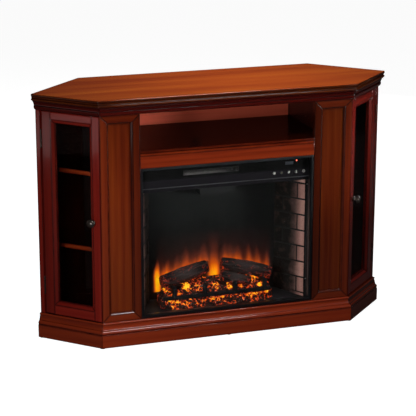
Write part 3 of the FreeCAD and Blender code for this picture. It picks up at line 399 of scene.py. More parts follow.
def charred_bark():
    """Black, cracked bark, darker in its grooves partly as char and partly as painted shade, with
    ash on its bare middle and a painted glow on its underside and ends.
    """
    material, tree, shader = start_material("charred_bark")
    place = kept(tree, "figure", "Vector")
    fissure = cloud(tree, stretch(tree, place, (14.0, 150.0, 150.0)), 1.0, 4.0, 0.6, 0.6)
    grit = cloud(tree, place, 420.0, 3.0, 0.6)
    # Grooves darkened: partly the char's colour, partly painted shade.
    whole = span(tree, kept(tree, "groove"), 0.15, 0.75, 1.0, 0.0)
    ridge = calc(tree, "MULTIPLY", span(tree, fissure, 0.36, 0.62), whole)
    colour = tint(tree, ridge, (0.0015, 0.001, 0.001), (0.038, 0.020, 0.017))
    ash = calc(tree, "MULTIPLY", kept(tree, "ash"), span(tree, grit, 0.2, 0.7, 0.35, 0.8))
    colour = tint(tree, ash, colour, (0.052, 0.037, 0.034))
    ember = use_group(tree, ember_heat, {
        "Place": place, "Heat": kept(tree, "warmth"), "Scale": 90.0, "Crust": 0.1})
    feed(tree, shader, Base_Color=colour, Roughness=span(tree, grit, 0.2, 0.8, 0.6, 0.9),
         Emission_Color=ember["Glow"], Emission_Strength=0.8, Specular_IOR_Level=0.25)
    roughen(tree, shader, calc(tree, "MULTIPLY_ADD", grit, 0.2, fissure), 0.0030, 1.0)
    return material


def burning_coal():
    """Crust on the coals: black on top, and glowing where they face the fire below."""
    material, tree, shader = start_material("burning_coal")
    place = object_place(tree)
    crust = span(tree, kept(tree, "lift"), -0.5, 0.9, -0.25, 0.42)
    ember = use_group(tree, ember_heat, {
        "Place": place, "Heat": kept(tree, "warmth"), "Scale": 120.0, "Crust": crust})
    grit = cloud(tree, place, 380.0, 3.0, 0.6)
    colour = tint(tree, span(tree, grit, 0.3, 0.7), (0.004, 0.003, 0.003), (0.050, 0.024, 0.018))
    feed(tree, shader, Base_Color=colour, Roughness=span(tree, grit, 0.2, 0.8, 0.65, 0.95),
         Emission_Color=ember["Glow"], Emission_Strength=1.0, Specular_IOR_Level=0.25)
    roughen(tree, shader, grit, 0.0008, 0.8)
    return material


def glowing_bed():
    """Translucent ember resin lit from below."""
    material, tree, shader = start_material("glowing_bed")
    place = object_place(tree)
    ember = use_group(tree, ember_heat, {
        "Place": place, "Heat": kept(tree, "warmth"), "Scale": 100.0, "Crust": -0.25})
    grit = cloud(tree, place, 300.0, 3.0, 0.6)
    feed(tree, shader, Base_Color=tint(tree, grit, (0.02, 0.008, 0.005), (0.06, 0.022, 0.012)),
         Roughness=0.7, Emission_Color=ember["Glow"], Emission_Strength=1.1, Specular_IOR_Level=0.2)
    roughen(tree, shader, grit, 0.0008, 0.7)
    return material


def fire_brick():
    """Rough pink brick, specked, with dark blots, and darkened towards the screen as painted shade.
    """
    material, tree, shader = start_material("fire_brick")
    place = object_place(tree)
    speck = cloud(tree, place, 260.0, 4.0, 0.65)
    blot = cloud(tree, place, 34.0, 3.0, 0.5)
    colour = tint(tree, kept(tree, "tone"), (0.42, 0.20, 0.165), (0.57, 0.31, 0.255))
    colour = tint(tree, span(tree, speck, 0.45, 0.7, 0.0, 0.45), colour, (0.26, 0.13, 0.10))
    # The soot value is painted shade, deepening towards the screen.
    soot = calc(tree, "ADD", kept(tree, "soot"), -0.15)
    smoke = calc(tree, "MULTIPLY_ADD", blot, 0.30, soot, clamp=True)
    colour = tint(tree, smoke, colour, (0.005, 0.004, 0.003))
    feed(tree, shader, Base_Color=colour, Roughness=span(tree, speck, 0.2, 0.8, 0.7, 0.95),
         Specular_IOR_Level=0.25)
    roughen(tree, shader, calc(tree, "MULTIPLY_ADD", blot, 0.8, speck), 0.0006, 0.8)
    return material


def flame_screen_finish():
    """Smoked screen with the light of the flames on it."""
    material, tree, shader = start_material("flame_screen_finish")
    place = object_place(tree)
    veil = cloud(tree, stretch(tree, place, (60.0, 1.0, 16.0)), 1.0, 3.0, 0.5, 0.6)
    veil = tint(tree, span(tree, veil, 0.25, 0.75), (0.85, 0.82, 0.80), (1.10, 1.12, 1.12))
    light = tint(tree, 1.0, kept(tree, "glow", "Color"), veil, "MULTIPLY")
    haze = cloud(tree, place, 6.0, 2.0)
    smoke = tint(tree, haze, (0.007, 0.0075, 0.007), (0.012, 0.0125, 0.0115))
    feed(tree, shader, Base_Color=smoke, Roughness=0.45, Emission_Color=light,
         Emission_Strength=1.0, Specular_IOR_Level=0.25)
    return material


def strand_metal():
    """Expanded mesh with a painted highlight along its lower strands and painted shade above them.
    """
    material, tree, shader = start_material("bright_mesh")
    surface = use_group(tree, brushing, {
        "Place": object_place(tree), "Stretch": (300.0, 300.0, 300.0)})
    bright = tint(tree, surface["Tone"], (0.86, 0.85, 0.82), (0.66, 0.65, 0.63))
    colour = tint(tree, kept(tree, "tone"), (0.012, 0.012, 0.012), bright)
    feed(tree, shader, Base_Color=colour, Metallic=0.35,
         Roughness=calc(tree, "MULTIPLY_ADD", surface["Tone"], 0.18, 0.34))
    roughen(tree, shader, surface["Height"], 0.00002, 0.5)
    return material


def fascia_coat():
    """Gloss black plastic, lighter on its lower step as painted light, with a painted highlight
    along its bead.
    """
    material, tree, shader = start_material("gloss_black_fascia")
    place = object_place(tree)
    height = add(tree, "ShaderNodeSeparateXYZ", {0: place}).outputs["Z"]
    surface = use_group(tree, cast_surface, {"Place": place, "Scale": 300.0})
    colour = tint(tree, surface["Tone"], (0.004, 0.0045, 0.004), (0.008, 0.008, 0.008))
    # The lower step is lightened: painted light.
    lower = span(tree, height, fascia_shade - 0.004, fascia_shade + 0.004, 1.0, 0.0)
    colour = tint(tree, lower, colour, (0.012, 0.011, 0.013))
    # The bead is lightened and roughened: a painted highlight.
    bead = calc(tree, "COMPARE", height, fascia_bead, 0.0019)
    colour = tint(tree, bead, colour, (0.030, 0.030, 0.033))
    feed(tree, shader, Base_Color=colour, Roughness=calc(tree, "MULTIPLY_ADD", bead, 0.15, 0.20),
         Coat_Weight=calc(tree, "MULTIPLY_ADD", bead, -0.15, 0.25), Coat_Roughness=0.06,
         Specular_IOR_Level=0.3)
    roughen(tree, shader, surface["Height"], 0.00001, 0.6)
    return material


def lit(name, colour, core, strength, roughness):
    """A lens lit from behind, brighter in its middle grain."""
    material, tree, shader = start_material(name)
    lens = tint(tree, cloud(tree, object_place(tree), 500.0, 2.0), colour, core)
    feed(tree, shader, Base_Color=lens, Roughness=roughness, Emission_Color=lens,
         Emission_Strength=strength, Coat_Weight=0.5)
    return material


# Lacquers: light, middle and dark of the figure, glaze and painted crease shade at the arrises,
# coat and index. The copies are one cherry lacquer made lighter, darker or warmer to stand in for
# the light on their pieces, as painted light and shade; the cornice's is darker as painted shade
# under the slab.
cherry = lacquered_timber(
    "cherry_lacquer", (0.27, 0.036, 0.008), (0.21, 0.026, 0.006), (0.13, 0.013, 0.004), 0.95)
cherry_base = lacquered_timber(
    "cherry_lacquer_base", (0.50, 0.062, 0.015), (0.41, 0.046, 0.012), (0.28, 0.027, 0.008), 0.9)
cherry_bright = lacquered_timber(
    "cherry_lacquer_bright", (0.28, 0.036, 0.007), (0.20, 0.022, 0.005), (0.12, 0.011, 0.003), 0.9)
cherry_shelf = lacquered_timber(
    "cherry_lacquer_shelf", (0.28, 0.036, 0.007), (0.20, 0.022, 0.005), (0.12, 0.011, 0.003),
    0.9, 0.6, 1.09)
cherry_golden = lacquered_timber(
    "cherry_lacquer_golden", (0.58, 0.130, 0.014), (0.43, 0.072, 0.009), (0.28, 0.033, 0.006), 0.95)
cherry_panel = lacquered_timber(
    "cherry_lacquer_panel", (0.31, 0.058, 0.007), (0.21, 0.029, 0.005), (0.125, 0.013, 0.0035),
    0.95)
cherry_door = lacquered_timber(
    "cherry_lacquer_door", (0.32, 0.022, 0.010), (0.235, 0.013, 0.007), (0.14, 0.007, 0.004), 0.95)
cherry_shaded = lacquered_timber(
    "cherry_lacquer_shaded", (0.09, 0.005, 0.002), (0.06, 0.003, 0.0015), (0.035, 0.002, 0.001),
    0.9, 0.35)
hardboard = board_behind_the_bay()
pine = plain_timber(
    "bare_pine", (0.62, 0.42, 0.22), (0.50, 0.31, 0.15), (0.30, 0.16, 0.07), 0.35)
# Near-black board for the partitions and hidden boards: painted shade.
board_in_painted_shade = plain_timber(
    "dark_panel", (0.035, 0.005, 0.003), (0.022, 0.003, 0.002), (0.012, 0.0015, 0.001), 0.1)
satin_black = coated("satin_black_coat", (0.004, 0.0045, 0.0055), (0.008, 0.0085, 0.010), 0.32)
casing_black = coated("casing_black_coat", (0.008, 0.008, 0.009), (0.014, 0.014, 0.015), 0.62)
gloss_black = fascia_coat()
soot_black = coated("soot_black_coat", (0.003, 0.003, 0.003), (0.008, 0.007, 0.007), 0.55)
black_plastic = coated("black_plastic", (0.012, 0.012, 0.012), (0.022, 0.022, 0.022), 0.42, 1400.0)
button_black = coated("button_black", (0.016, 0.016, 0.017), (0.03, 0.03, 0.031), 0.30, 1600.0)
mark_white = coated("mark_ivory", (0.62, 0.60, 0.55), (0.75, 0.73, 0.68), 0.4, 1600.0)
mark_faint = coated("mark_amber", (0.20, 0.17, 0.08), (0.28, 0.24, 0.12), 0.4, 1600.0)
cast_iron = coated(
    "cast_iron", (0.004, 0.0035, 0.004), (0.012, 0.010, 0.010), 0.60, 700.0, 0.2, 0.0, 0.0004)
dark_bronze = coated(
    "dark_bronze", (0.085, 0.065, 0.055), (0.15, 0.12, 0.10), 0.22, 500.0, 0.85, 0.2)
zinc = metal("zinc_plate", (0.62, 0.63, 0.62), (0.42, 0.43, 0.43), (60.0, 500.0, 500.0), 0.28)
mesh_bright = strand_metal()
foil = metal("bright_foil", (0.88, 0.88, 0.88), (0.74, 0.74, 0.75), (500.0, 40.0, 40.0), 0.10)
wound_ceramic = coated("wound_ceramic", (0.020, 0.018, 0.017), (0.045, 0.041, 0.038), 0.6, 900.0)
board_green = coated("board_green", (0.010, 0.075, 0.028), (0.02, 0.13, 0.05), 0.35, 600.0)
clear_glass = glazing("clear_glass", (0.90, 0.93, 0.93), 0.0)
display_grey = lit("display_lens", (0.016, 0.018, 0.022), (0.038, 0.043, 0.052), 0.06, 0.3)
red_lamp = lit("red_lamp", (1.0, 0.05, 0.03), (1.0, 0.20, 0.12), 6.0, 0.25)
lamp_glass = lit("lamp_glass", (1.0, 0.45, 0.12), (1.0, 0.72, 0.35), 1.5, 0.3)
bark = charred_bark()
coal = burning_coal()
bed_glow = glowing_bed()
brick = fire_brick()
mortar = coated(
    "black_mortar", (0.003, 0.0025, 0.0025), (0.007, 0.006, 0.0055), 0.75, 500.0, 0.0, 0.0, 0.0005)
screen_finish = flame_screen_finish()


# Mesh building

arris_angle = math.radians(28.0)
weld_reach = 0.00001


def stand_in_scene(thing):
    bpy.context.scene.collection.objects.link(thing)


def smooth(mesh):
    mesh.polygons.foreach_set("use_smooth", [True] * len(mesh.polygons))


def geometry_of(shell):
    return shell.verts[:] + shell.edges[:] + shell.faces[:]


def skin(shell, rows, closed=False):
    """Faces between neighbouring rows of points; closed rows run round, and one point is a tip."""
    for first, second in zip(rows, rows[1:]):
        count = max(len(first), len(second))
        for step in range(count if closed else count - 1):
            after = (step + 1) % count
            corners = (first[step % len(first)], first[after % len(first)],
                       second[after % len(second)], second[step % len(second)])
            shell.faces.new(list(dict.fromkeys(corners)))


def skin_slab(shell, grid, behind_at, layers=()):
    """A slab from a grid of points on its face, and a rule for the places behind its rim."""
    skin(shell, grid)
    rim = ([column[0] for column in grid] + grid[-1][1:] + [column[-1] for column in grid[-2::-1]]
           + grid[0][-2:0:-1])
    behind = []
    for vert in rim:
        new = shell.verts.new(behind_at(vert.co))
        for layer in layers:
            new[layer] = vert[layer]
        behind.append(new)
    skin(shell, (rim, behind), closed=True)
    shell.faces.new(behind)


def publish(name, mesh, material, body, replaced=()):
    """Turns a finished mesh into a piece that rides on its body."""
    mesh.materials.clear()
    mesh.materials.append(material)
    piece = bpy.data.objects.new(name, mesh)
    stand_in_scene(piece)
    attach(piece, body)
    if replaced:
        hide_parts(*replaced)


def mesh_of(name, shell, smooth_below=40.0):
    mesh = bpy.data.meshes.new(name)
    shell.to_mesh(mesh)
    shell.free()
    smooth(mesh)
    mesh.set_sharp_from_angle(angle=math.radians(smooth_below))
    return mesh


def made_mesh(name, shell, smooth_below=40.0):
    """The mesh of a closed shell made here, its faces turned outwards first."""
    bmesh.ops.recalc_face_normals(shell, faces=shell.faces[:])
    return mesh_of(name, shell, smooth_below)


def joined(name, meshes):
    """One mesh from several, with their point attributes kept."""
    shell = bmesh.new()
    for mesh in meshes:
        shell.from_mesh(mesh)
    result = bpy.data.meshes.new(name)
    shell.to_mesh(result)
    shell.free()
    for mesh in meshes:
        bpy.data.meshes.remove(mesh)
    return result


def solids_of(node, member):
    """The node's triangles, sorted into its separate boards by a place just under each face."""
    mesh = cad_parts[node].data
    groups = {}
    for face in mesh.polygons:
        inside = face.center - face.normal * 0.0002
        corners = [mesh.vertices[i].co.copy() for i in face.vertices]
        groups.setdefault(member(inside), []).append(corners)
    return groups


def welded(triangles, cuts=()):
    """Whole faces from loose triangles, parted at the given planes so that no face has a hole."""
    shell = bmesh.new()
    for corners in triangles:
        shell.faces.new([shell.verts.new(corner) for corner in corners])
    bmesh.ops.remove_doubles(shell, verts=shell.verts[:], dist=weld_reach)
    bmesh.ops.dissolve_degenerate(shell, dist=0.000001, edges=shell.edges[:])
    for place, way in cuts:
        bmesh.ops.bisect_plane(shell, geom=geometry_of(shell), dist=1e-6, plane_co=place,
                               plane_no=way)
        for edge in shell.edges:
            if all(abs((vert.co - place).dot(way)) < weld_reach for vert in edge.verts):
                edge.seam = True
    bmesh.ops.dissolve_limit(shell, angle_limit=math.radians(0.6), verts=shell.verts[:],
                             edges=shell.edges[:], delimit={"SEAM"})
    return shell


def sharp_edges(shell):
    return [edge for edge in shell.edges
            if len(edge.link_faces) == 2 and edge.calc_face_angle(0.0) > arris_angle]


def eased(shell, reach):
    """Rounds the shell's outward arrises and gives the new faces."""
    arrises = [edge for edge in sharp_edges(shell) if edge.is_convex]
    return bmesh.ops.bevel(shell, geom=arrises, offset=reach, offset_type="OFFSET", segments=2,
                           profile=0.5, affect="EDGES", clamp_overlap=True)["faces"]


# The ways a board can run: upright, across, deep, and along the right and left cut corners
grain_ways = [Vector(way) for way in ((0.0, 0.0, 1.0), (1.0, 0.0, 0.0), (0.0, 1.0, 0.0),
                                      (root_half, root_half, 0.0), (-root_half, root_half, 0.0))]


def grain_of(places):
    """Unit vectors along and across the grain: along the board's longest reach."""
    best, reach = None, 0.0
    for way in grain_ways:
        along = places @ np.array(way)
        if along.max() - along.min() > reach * 1.03:
            best, reach = way, along.max() - along.min()
    other = Vector((1.0, 0.0, 0.0)) if best.z else Vector((0.0, 0.0, 1.0))
    return best, other, best.cross(other)


def nearness(places, lines, reach):
    """1 on the lines, falling to 0 at the given reach."""
    nearest = np.full(len(places), 1.0)
    for first, last in lines:
        run = last - first
        share = np.clip(((places - first) @ run) / max(run @ run, 1e-12), 0.0, 1.0)
        away = np.linalg.norm(places - first - share[:, None] * run, axis=1)
        nearest = np.minimum(nearest, away)
    return np.clip(1.0 - nearest / reach, 0.0, 1.0)


def cut_across(shell, way, depths):
    """Parts the shell across the given way at each depth from both of its ends."""
    low = min(vert.co.dot(way) for vert in shell.verts)
    high = max(vert.co.dot(way) for vert in shell.verts)
    for depth in depths:
        for place in (low + depth, high - depth):
            if low + 0.0001 < place < high - 0.0001:
                bmesh.ops.bisect_plane(shell, geom=geometry_of(shell), dist=1e-7,
                                       plane_co=way * place, plane_no=way)


def places_of(shell):
    return np.array([vert.co[:] for vert in shell.verts])


def finished_board(shell, ease, band, reach, offset, tone, extra, shade):
    """Eases a board's arrises; its grain, its tone and its nearness to the lines where glaze and
    painted shade darken it stay on its points.
    """
    lines = [tuple(np.array(vert.co) for vert in edge.verts) for edge in sharp_edges(shell)]
    lines += extra
    rounded = set(eased(shell, ease))
    wide = [face for face in shell.faces if face not in rounded
            and 2.0 * face.calc_area() / max(face.calc_perimeter(), 1e-9) > band * 1.6]
    if wide:
        bmesh.ops.inset_individual(shell, faces=wide, thickness=band, use_even_offset=True)
    axes = grain_of(places_of(shell))
    cut_across(shell, axes[0], (0.003, 0.008, 0.016, 0.03, 0.06, 0.12, 0.24, 0.4))
    rims = nearness(places_of(shell), lines, reach)
    rim_layer = shell.verts.layers.float.new("rim")
    tone_layer = shell.verts.layers.float.new("tone")
    figure_layer = shell.verts.layers.float_vector.new("figure")
    for vert, rim in zip(shell.verts, rims):
        vert[rim_layer] = rim
        vert[tone_layer] = tone * shade(vert.co)
        vert[figure_layer] = Vector([vert.co.dot(axis) for axis in axes]) + offset


def whole(place):
    """For a node that is one solid."""
    return 0


def on_the_right(place):
    """For a node with one solid on each side."""
    return place.x > 0.0


def timber(node, material, member=on_the_right, body="cabinet", ease=0.0007,
           band=0.0035, reach=0.0035, extra=(), tones=None, shade=lambda place: 1.0):
    """Replaces a node of boards by the same boards with eased arrises and their own grain."""
    chance = random.Random(node)
    boards = []
    for key, triangles in sorted(solids_of(node, member).items(), key=lambda entry: str(entry[0])):
        offset = Vector([chance.uniform(-3, 3) for axis in "xyz"])
        # A board's tone is a little random, and the given tones and shade add painted light and
        # shade.
        tone = (tones or {}).get(key, 1.0) * chance.uniform(0.95, 1.05)
        shell = welded(triangles)
        finished_board(shell, ease, band, reach, offset, tone, extra, shade)
        boards.append(mesh_of(f"{node}_board", shell))
    publish(f"{node}_timber", joined(f"{node}_timber", boards), material, body, (node,))


def pilaster_member_at(place):
    """Which stile or rail of which pilaster frame a place is in."""
    outer = front_arris - abs(place.x)
    inner = abs(place.x) - bay_half_width
    low = place.z - base_top
    high = cornice_bottom - place.z
    part = min((outer, "outer"), (inner, "inner"), (low, "low"), (high, "high"))
    return place.x > 0.0, part[1]


def door_place(place):
    """Distance along the cut corner from its front arris."""
    return ((abs(place.x) - front_arris) + (place.y - body_front)) * root_half - door_start


def rear_corner_depth(place):
    """Distance inward from a cut rear corner of the top."""
    return (rear_line - abs(place.x) - place.y) * root_half


def corner_depth(place):
    """Distance inward from a cut corner's face."""
    return ((front_arris - abs(place.x)) + (place.y - body_front)) * root_half


def door_member_at(place):
    """Which stile or rail of a door frame a place is in."""
    along = door_place(place)
    low_slope = max(0.0, place.z - (rail_low - door_bevel))
    high_slope = max(0.0, (rail_high + door_bevel) - place.z)
    start = latch_stile - door_bevel
    end = door_length - hinge_stile + door_bevel
    if place.z < rail_low and start + low_slope < along < end - low_slope:
        return "low"
    if place.z > rail_high and start + high_slope < along < end - high_slope:
        return "high"
    return "latch" if along < door_length / 2 else "hinge"


def on_corner(side, along, inward, height):
    """A place on a cut front corner: along from its front arris, inward from its face."""
    x = front_arris + (along - inward) * root_half
    y = body_front + (along + inward) * root_half
    return Vector((side * x, y, height))


def darker_upward(place):
    """Painted shade on the pilasters: darker upward, brighter near the floor."""
    return 1.16 - 0.54 * clamp((place.z - 0.25) / 0.45)


def panel_sight_lines():
    """The inner edges of both pilaster frames, where glaze and painted shade darken the panels."""
    lines = []
    low, high = base_top + pilaster_member, cornice_bottom - pilaster_member
    for side in (-1, 1):
        inner = side * (bay_half_width + pilaster_member)
        outer = side * (front_arris - pilaster_member)
        corners = [np.array((x, body_front + panel_setback, z))
                   for x, z in ((inner, low), (outer, low), (outer, high), (inner, high))]
        lines += [(corners[i - 1], corners[i]) for i in range(4)]
    return lines


def make_timber():
    # The slab's edges are darker than its top: painted shade.
    timber("top_panel", cherry_golden, whole, ease=0.0020, band=0.004, reach=0.004,
           shade=lambda place: 1.0 if place.z > slab_top - 0.0002 else slab_edge_shade)
    timber("cornice_front", cherry_shaded, whole, ease=0.0005, reach=0.002)
    timber("cornice_sides", cherry_shaded, ease=0.0005, reach=0.002)
    timber("base_front", cherry_base, whole, ease=0.0006, reach=0.002)
    # Both cut-corner sides of the base are darkened as painted shade, the right one more.
    timber("base_sides", cherry_base, ease=0.0006, reach=0.002, tones={False: 0.62, True: 0.42})
    # The shelf's top inside the bay is darkened as painted shade; its front nosing keeps a lighter
    # tone.
    timber("media_shelf", cherry_shelf, whole,
           shade=lambda place: 0.8 if place.y < body_front + face_reach else 0.10)
    timber("media_apron", cherry_bright, whole)
    # The right hinge strip is darkened as painted shade.
    timber("hinge_strips", cherry_door, tones={True: 0.8, False: 1.0})
    # Painted light and shade on the pilaster frames: each stile and rail its own tone, the right
    # frame darker, and both darker upward.
    frame_tones = {
        (True, "inner"): 0.36, (True, "outer"): 0.85, (True, "low"): 0.9, (True, "high"): 0.75,
        (False, "inner"): 0.62, (False, "outer"): 1.05, (False, "low"): 1.2, (False, "high"): 0.9}
    timber("pilaster_frames", cherry, pilaster_member_at, tones=frame_tones, shade=darker_upward)
    # The right panel is darkened as painted shade, and both panels are darker upward.
    timber("pilaster_panels", cherry_panel, band=panel_tongue + 0.0035, extra=panel_sight_lines(),
           tones={True: 0.70, False: 1.0}, shade=darker_upward)
    # On each door the hinge stile is darkened and the latch stile lightened: painted light and
    # shade.
    for side in ("left", "right"):
        timber(f"{side}_door_frame", cherry_door, door_member_at, f"{side}_door",
               tones={"hinge": 0.75, "latch": 1.1})
    # The inner faces of the rear corner panels, behind the doors, are painted near black as shade.
    timber("side_rear_panels", cherry_base,
           shade=lambda place: 1.0 if rear_corner_depth(place) < 0.004 else 0.05)
    # The shelves behind the doors are painted near black as shade, all but their front edges.
    timber("side_shelves", cherry, lambda place: (place.x > 0.0, place.z > shelf_split),
           shade=lambda place: 0.9 if corner_depth(place) < shelf_setback + face_reach else 0.08)


# Radius and reach from the door of each turn on a knob
knob_outline = (
    (0.0, 0.0), (0.0088, 0.0), (0.0090, 0.0004), (0.0090, 0.0020), (0.0082, 0.0026),
    (0.0066, 0.0030), (0.0056, 0.0042), (0.0052, 0.0064), (0.0052, 0.0086), (0.0058, 0.0104),
    (0.0078, 0.0122), (0.0108, 0.0136), (0.0128, 0.0146), (0.0135, 0.0154), (0.0135, 0.0160),
    (0.0131, 0.0167), (0.0122, 0.0180), (0.0106, 0.0200), (0.0084, 0.0218), (0.0058, 0.0231),
    (0.0030, 0.0238), (0.0, 0.0240))


def make_knobs():
    """Turned knobs: a stepped foot, a slim neck and a domed head with a bead."""
    turns = 48
    for name, side in (("left", -1), ("right", 1)):
        shell = bmesh.new()
        rows = []
        outward = Vector((side * root_half, -root_half, 0.0))
        level = Vector((0.0, 0.0, 1.0))
        sideways = outward.cross(level)
        centre = on_corner(side, knob_across, 0.0, knob_height)
        for radius, reach in knob_outline:
            row = []
            for step in range(turns if radius else 1):
                turn = 2 * math.pi * step / turns
                way = sideways * math.cos(turn) + level * math.sin(turn)
                row.append(shell.verts.new(centre + outward * reach + way * radius))
            rows.append(row)
        skin(shell, rows, closed=True)
        publish(f"{name}_knob", made_mesh(f"{name}_knob", shell), dark_bronze, f"{name}_door",
                (f"{name}_door_knob",))


# Fire

def follow(pairs, value):
    """The value on a line through pairs of place and value."""
    return float(np.interp(value, [pair[0] for pair in pairs], [pair[1] for pair in pairs]))


def smooth_path(points, share):
    """A place on the smooth line through three points."""
    first, middle, last = points
    control = middle * 2.0 - (first + last) * 0.5
    return first * (1 - share) ** 2 + control * 2 * share * (1 - share) + last * share ** 2


def smooth_way(points, before, after):
    """The smooth line's direction between two shares of it."""
    return (smooth_path(points, after) - smooth_path(points, before)).normalized()


log_list = (
    # name, three places along the log: across, depth behind the front and height; radii there, seed
    ("left", ((-0.206, 0.078, 0.176), (-0.128, 0.092, 0.188), (-0.040, 0.108, 0.205)),
     (0.0200, 0.0250, 0.0200), 3.1),
    ("right", ((0.012, 0.112, 0.206), (0.096, 0.098, 0.190), (0.178, 0.080, 0.168)),
     (0.0200, 0.0225, 0.0200), 8.7),
    ("front", ((0.000, 0.078, 0.177), (0.050, 0.074, 0.164), (0.102, 0.066, 0.151)),
     (0.0150, 0.0165, 0.0130), 14.3),
)


def log_mesh(name, places, radii, seed):
    """A split, charred log: fissures along it, a bare middle, and broken ends."""
    rings, turns = 90, 72
    points = [Vector((x, body_front + deep, z)) for x, deep, z in places]
    shell = bmesh.new()
    figure = shell.verts.layers.float_vector.new("figure")
    heat = shell.verts.layers.float.new("warmth")
    ash = shell.verts.layers.float.new("ash")
    groove = shell.verts.layers.float.new("groove")
    rows = []
    for ring in range(rings + 1):
        share = ring / rings
        centre = smooth_path(points, share)
        ahead = smooth_way(points, max(0.0, share - 0.01), min(1.0, share + 0.01))
        side = ahead.cross(Vector((0.0, 0.0, 1.0))).normalized()
        up = side.cross(ahead)
        radius = np.interp(share, (0.0, 0.5, 1.0), radii)
        reach = share * (points[-1] - points[0]).length
        row = []
        for step in range(turns):
            turn = 2 * math.pi * step / turns
            way = side * math.cos(turn) + up * math.sin(turn)
            around = Vector((math.cos(turn) * 1.6, math.sin(turn) * 1.6, seed))
            lumps = noise.noise(Vector((around.x, around.y, reach * 9 + seed))) * 0.12
            place = Vector((around.x * 2.3, around.y * 2.3, reach * 11 + seed * 2))
            split = abs(noise.noise(place))
            place = Vector((around.x * 8.0, around.y * 8.0, reach * 30 + seed * 3))
            fine = abs(noise.noise(place))
            front_and_top = max(0.0, 0.4 + way.z * 0.5 - way.y * 0.5)
            bare = clamp(math.exp(-((share - 0.5) / 0.22) ** 2) * front_and_top * 1.2)
            cleft = (1 - min(1, split * 3.2)) * (1 - 0.6 * bare)
            cut = 1.09 + lumps - 0.17 * cleft - 0.06 * (1 - min(1, fine * 3)) * (1 - 0.6 * bare)
            end = min(1.0, min(share, 1 - share) * rings / 3.0)
            body = radius * cut * (0.92 + 0.08 * math.sqrt(end))
            vert = shell.verts.new(centre + way * body)
            vert[figure] = Vector((reach, turn * radius, radius + seed))
            # Painted glow of the embers' light on the log's underside and at its ends.
            under = max(0.0, -way.z * 0.8 - way.y * 0.45)
            tips = max(0.0, 1 - min(share, 1 - share) * 7)
            vert[heat] = 0.10 + 0.42 * max(0.0, under - 0.55) + 0.20 * tips
            vert[ash] = bare
            vert[groove] = cleft
            row.append(vert)
        rows.append(row)
    skin(shell, rows, closed=True)
    for row, share, sign in ((rows[0], 0.0, -1), (rows[-1], 1.0, 1)):
        centre = smooth_path(points, share)
        ahead = smooth_way(points, 0.48, 0.52)
        broken_end = [row]
        for inner in (0.72, 0.44, 0.18):
            fresh = []
            for vert in row:
                place = centre + (vert.co - centre) * inner
                rough = noise.noise(place * 260.0) * 0.0022 - 0.001 * inner
                new = shell.verts.new(place + ahead * sign * rough)
                new[figure] = vert[figure] + Vector((inner * 0.02, 0, inner * 0.1))
                # Painted glow on the broken ends.
                new[heat] = 0.32
                new[ash] = 0.05
                fresh.append(new)
            broken_end.append(fresh)
        tip = shell.verts.new(centre)
        tip[figure] = Vector((0.0, 0.0, seed))
        skin(shell, broken_end + [[tip]], closed=True)
    return made_mesh(name, shell, 180.0)


def make_logs():
    meshes = [log_mesh(f"{name}_log", *values) for name, *values in log_list]
    publish("charred_logs", joined("charred_logs", meshes), bark, "cabinet", ("logs",))


glow_spots = (
    # across, height, reach across, reach up, strength
    (-0.118, 0.1500, 0.0135, 0.0090, 2.10), (-0.185, 0.1340, 0.0140, 0.0120, 0.75),
    (-0.150, 0.1370, 0.0100, 0.0090, 0.75), (-0.086, 0.1480, 0.0220, 0.0130, 0.60),
    (-0.079, 0.1620, 0.0240, 0.0080, 0.60), (-0.045, 0.1665, 0.0200, 0.0080, 0.35),
    (-0.015, 0.1430, 0.0130, 0.0080, 1.05), (0.026, 0.1420, 0.0120, 0.0090, 1.15),
    (0.018, 0.1600, 0.0180, 0.0070, 0.60), (0.066, 0.1390, 0.0130, 0.0090, 0.75),
    (0.100, 0.1480, 0.0100, 0.0110, 0.85), (0.121, 0.1500, 0.0160, 0.0120, 0.80),
    (0.131, 0.1370, 0.0120, 0.0080, 1.20), (-0.168, 0.1120, 0.0260, 0.0085, 1.15),
    (-0.118, 0.1130, 0.0200, 0.0070, 0.75), (-0.175, 0.0950, 0.0160, 0.0110, 0.70),
    (-0.140, 0.0980, 0.0250, 0.0110, 0.60), (-0.090, 0.0990, 0.0250, 0.0100, 0.60),
    (-0.062, 0.1110, 0.0250, 0.0080, 0.60), (-0.034, 0.1130, 0.0150, 0.0060, 0.95),
    (-0.002, 0.1130, 0.0220, 0.0070, 0.80), (-0.010, 0.0990, 0.0400, 0.0090, 0.45),
    (0.042, 0.1130, 0.0250, 0.0060, 0.80), (0.078, 0.1120, 0.0180, 0.0050, 0.80),
    (0.104, 0.1120, 0.0200, 0.0045, 1.10), (0.130, 0.1120, 0.0240, 0.0045, 1.35),
    (0.163, 0.1110, 0.0180, 0.0050, 1.45), (0.080, 0.0980, 0.0450, 0.0080, 0.35),
)


def bed_heat(x, z):
    """How hot the embers are, from the lamps below them."""
    heat = bed_least_heat
    for spot_x, spot_z, reach_x, reach_z, more in glow_spots:
        away = ((x - spot_x) / reach_x) ** 2 + ((z - spot_z) / reach_z) ** 2
        heat = max(heat, more * math.exp(-away))
    return heat * clamp((x - bed_dark_end) / bed_dark_fade)


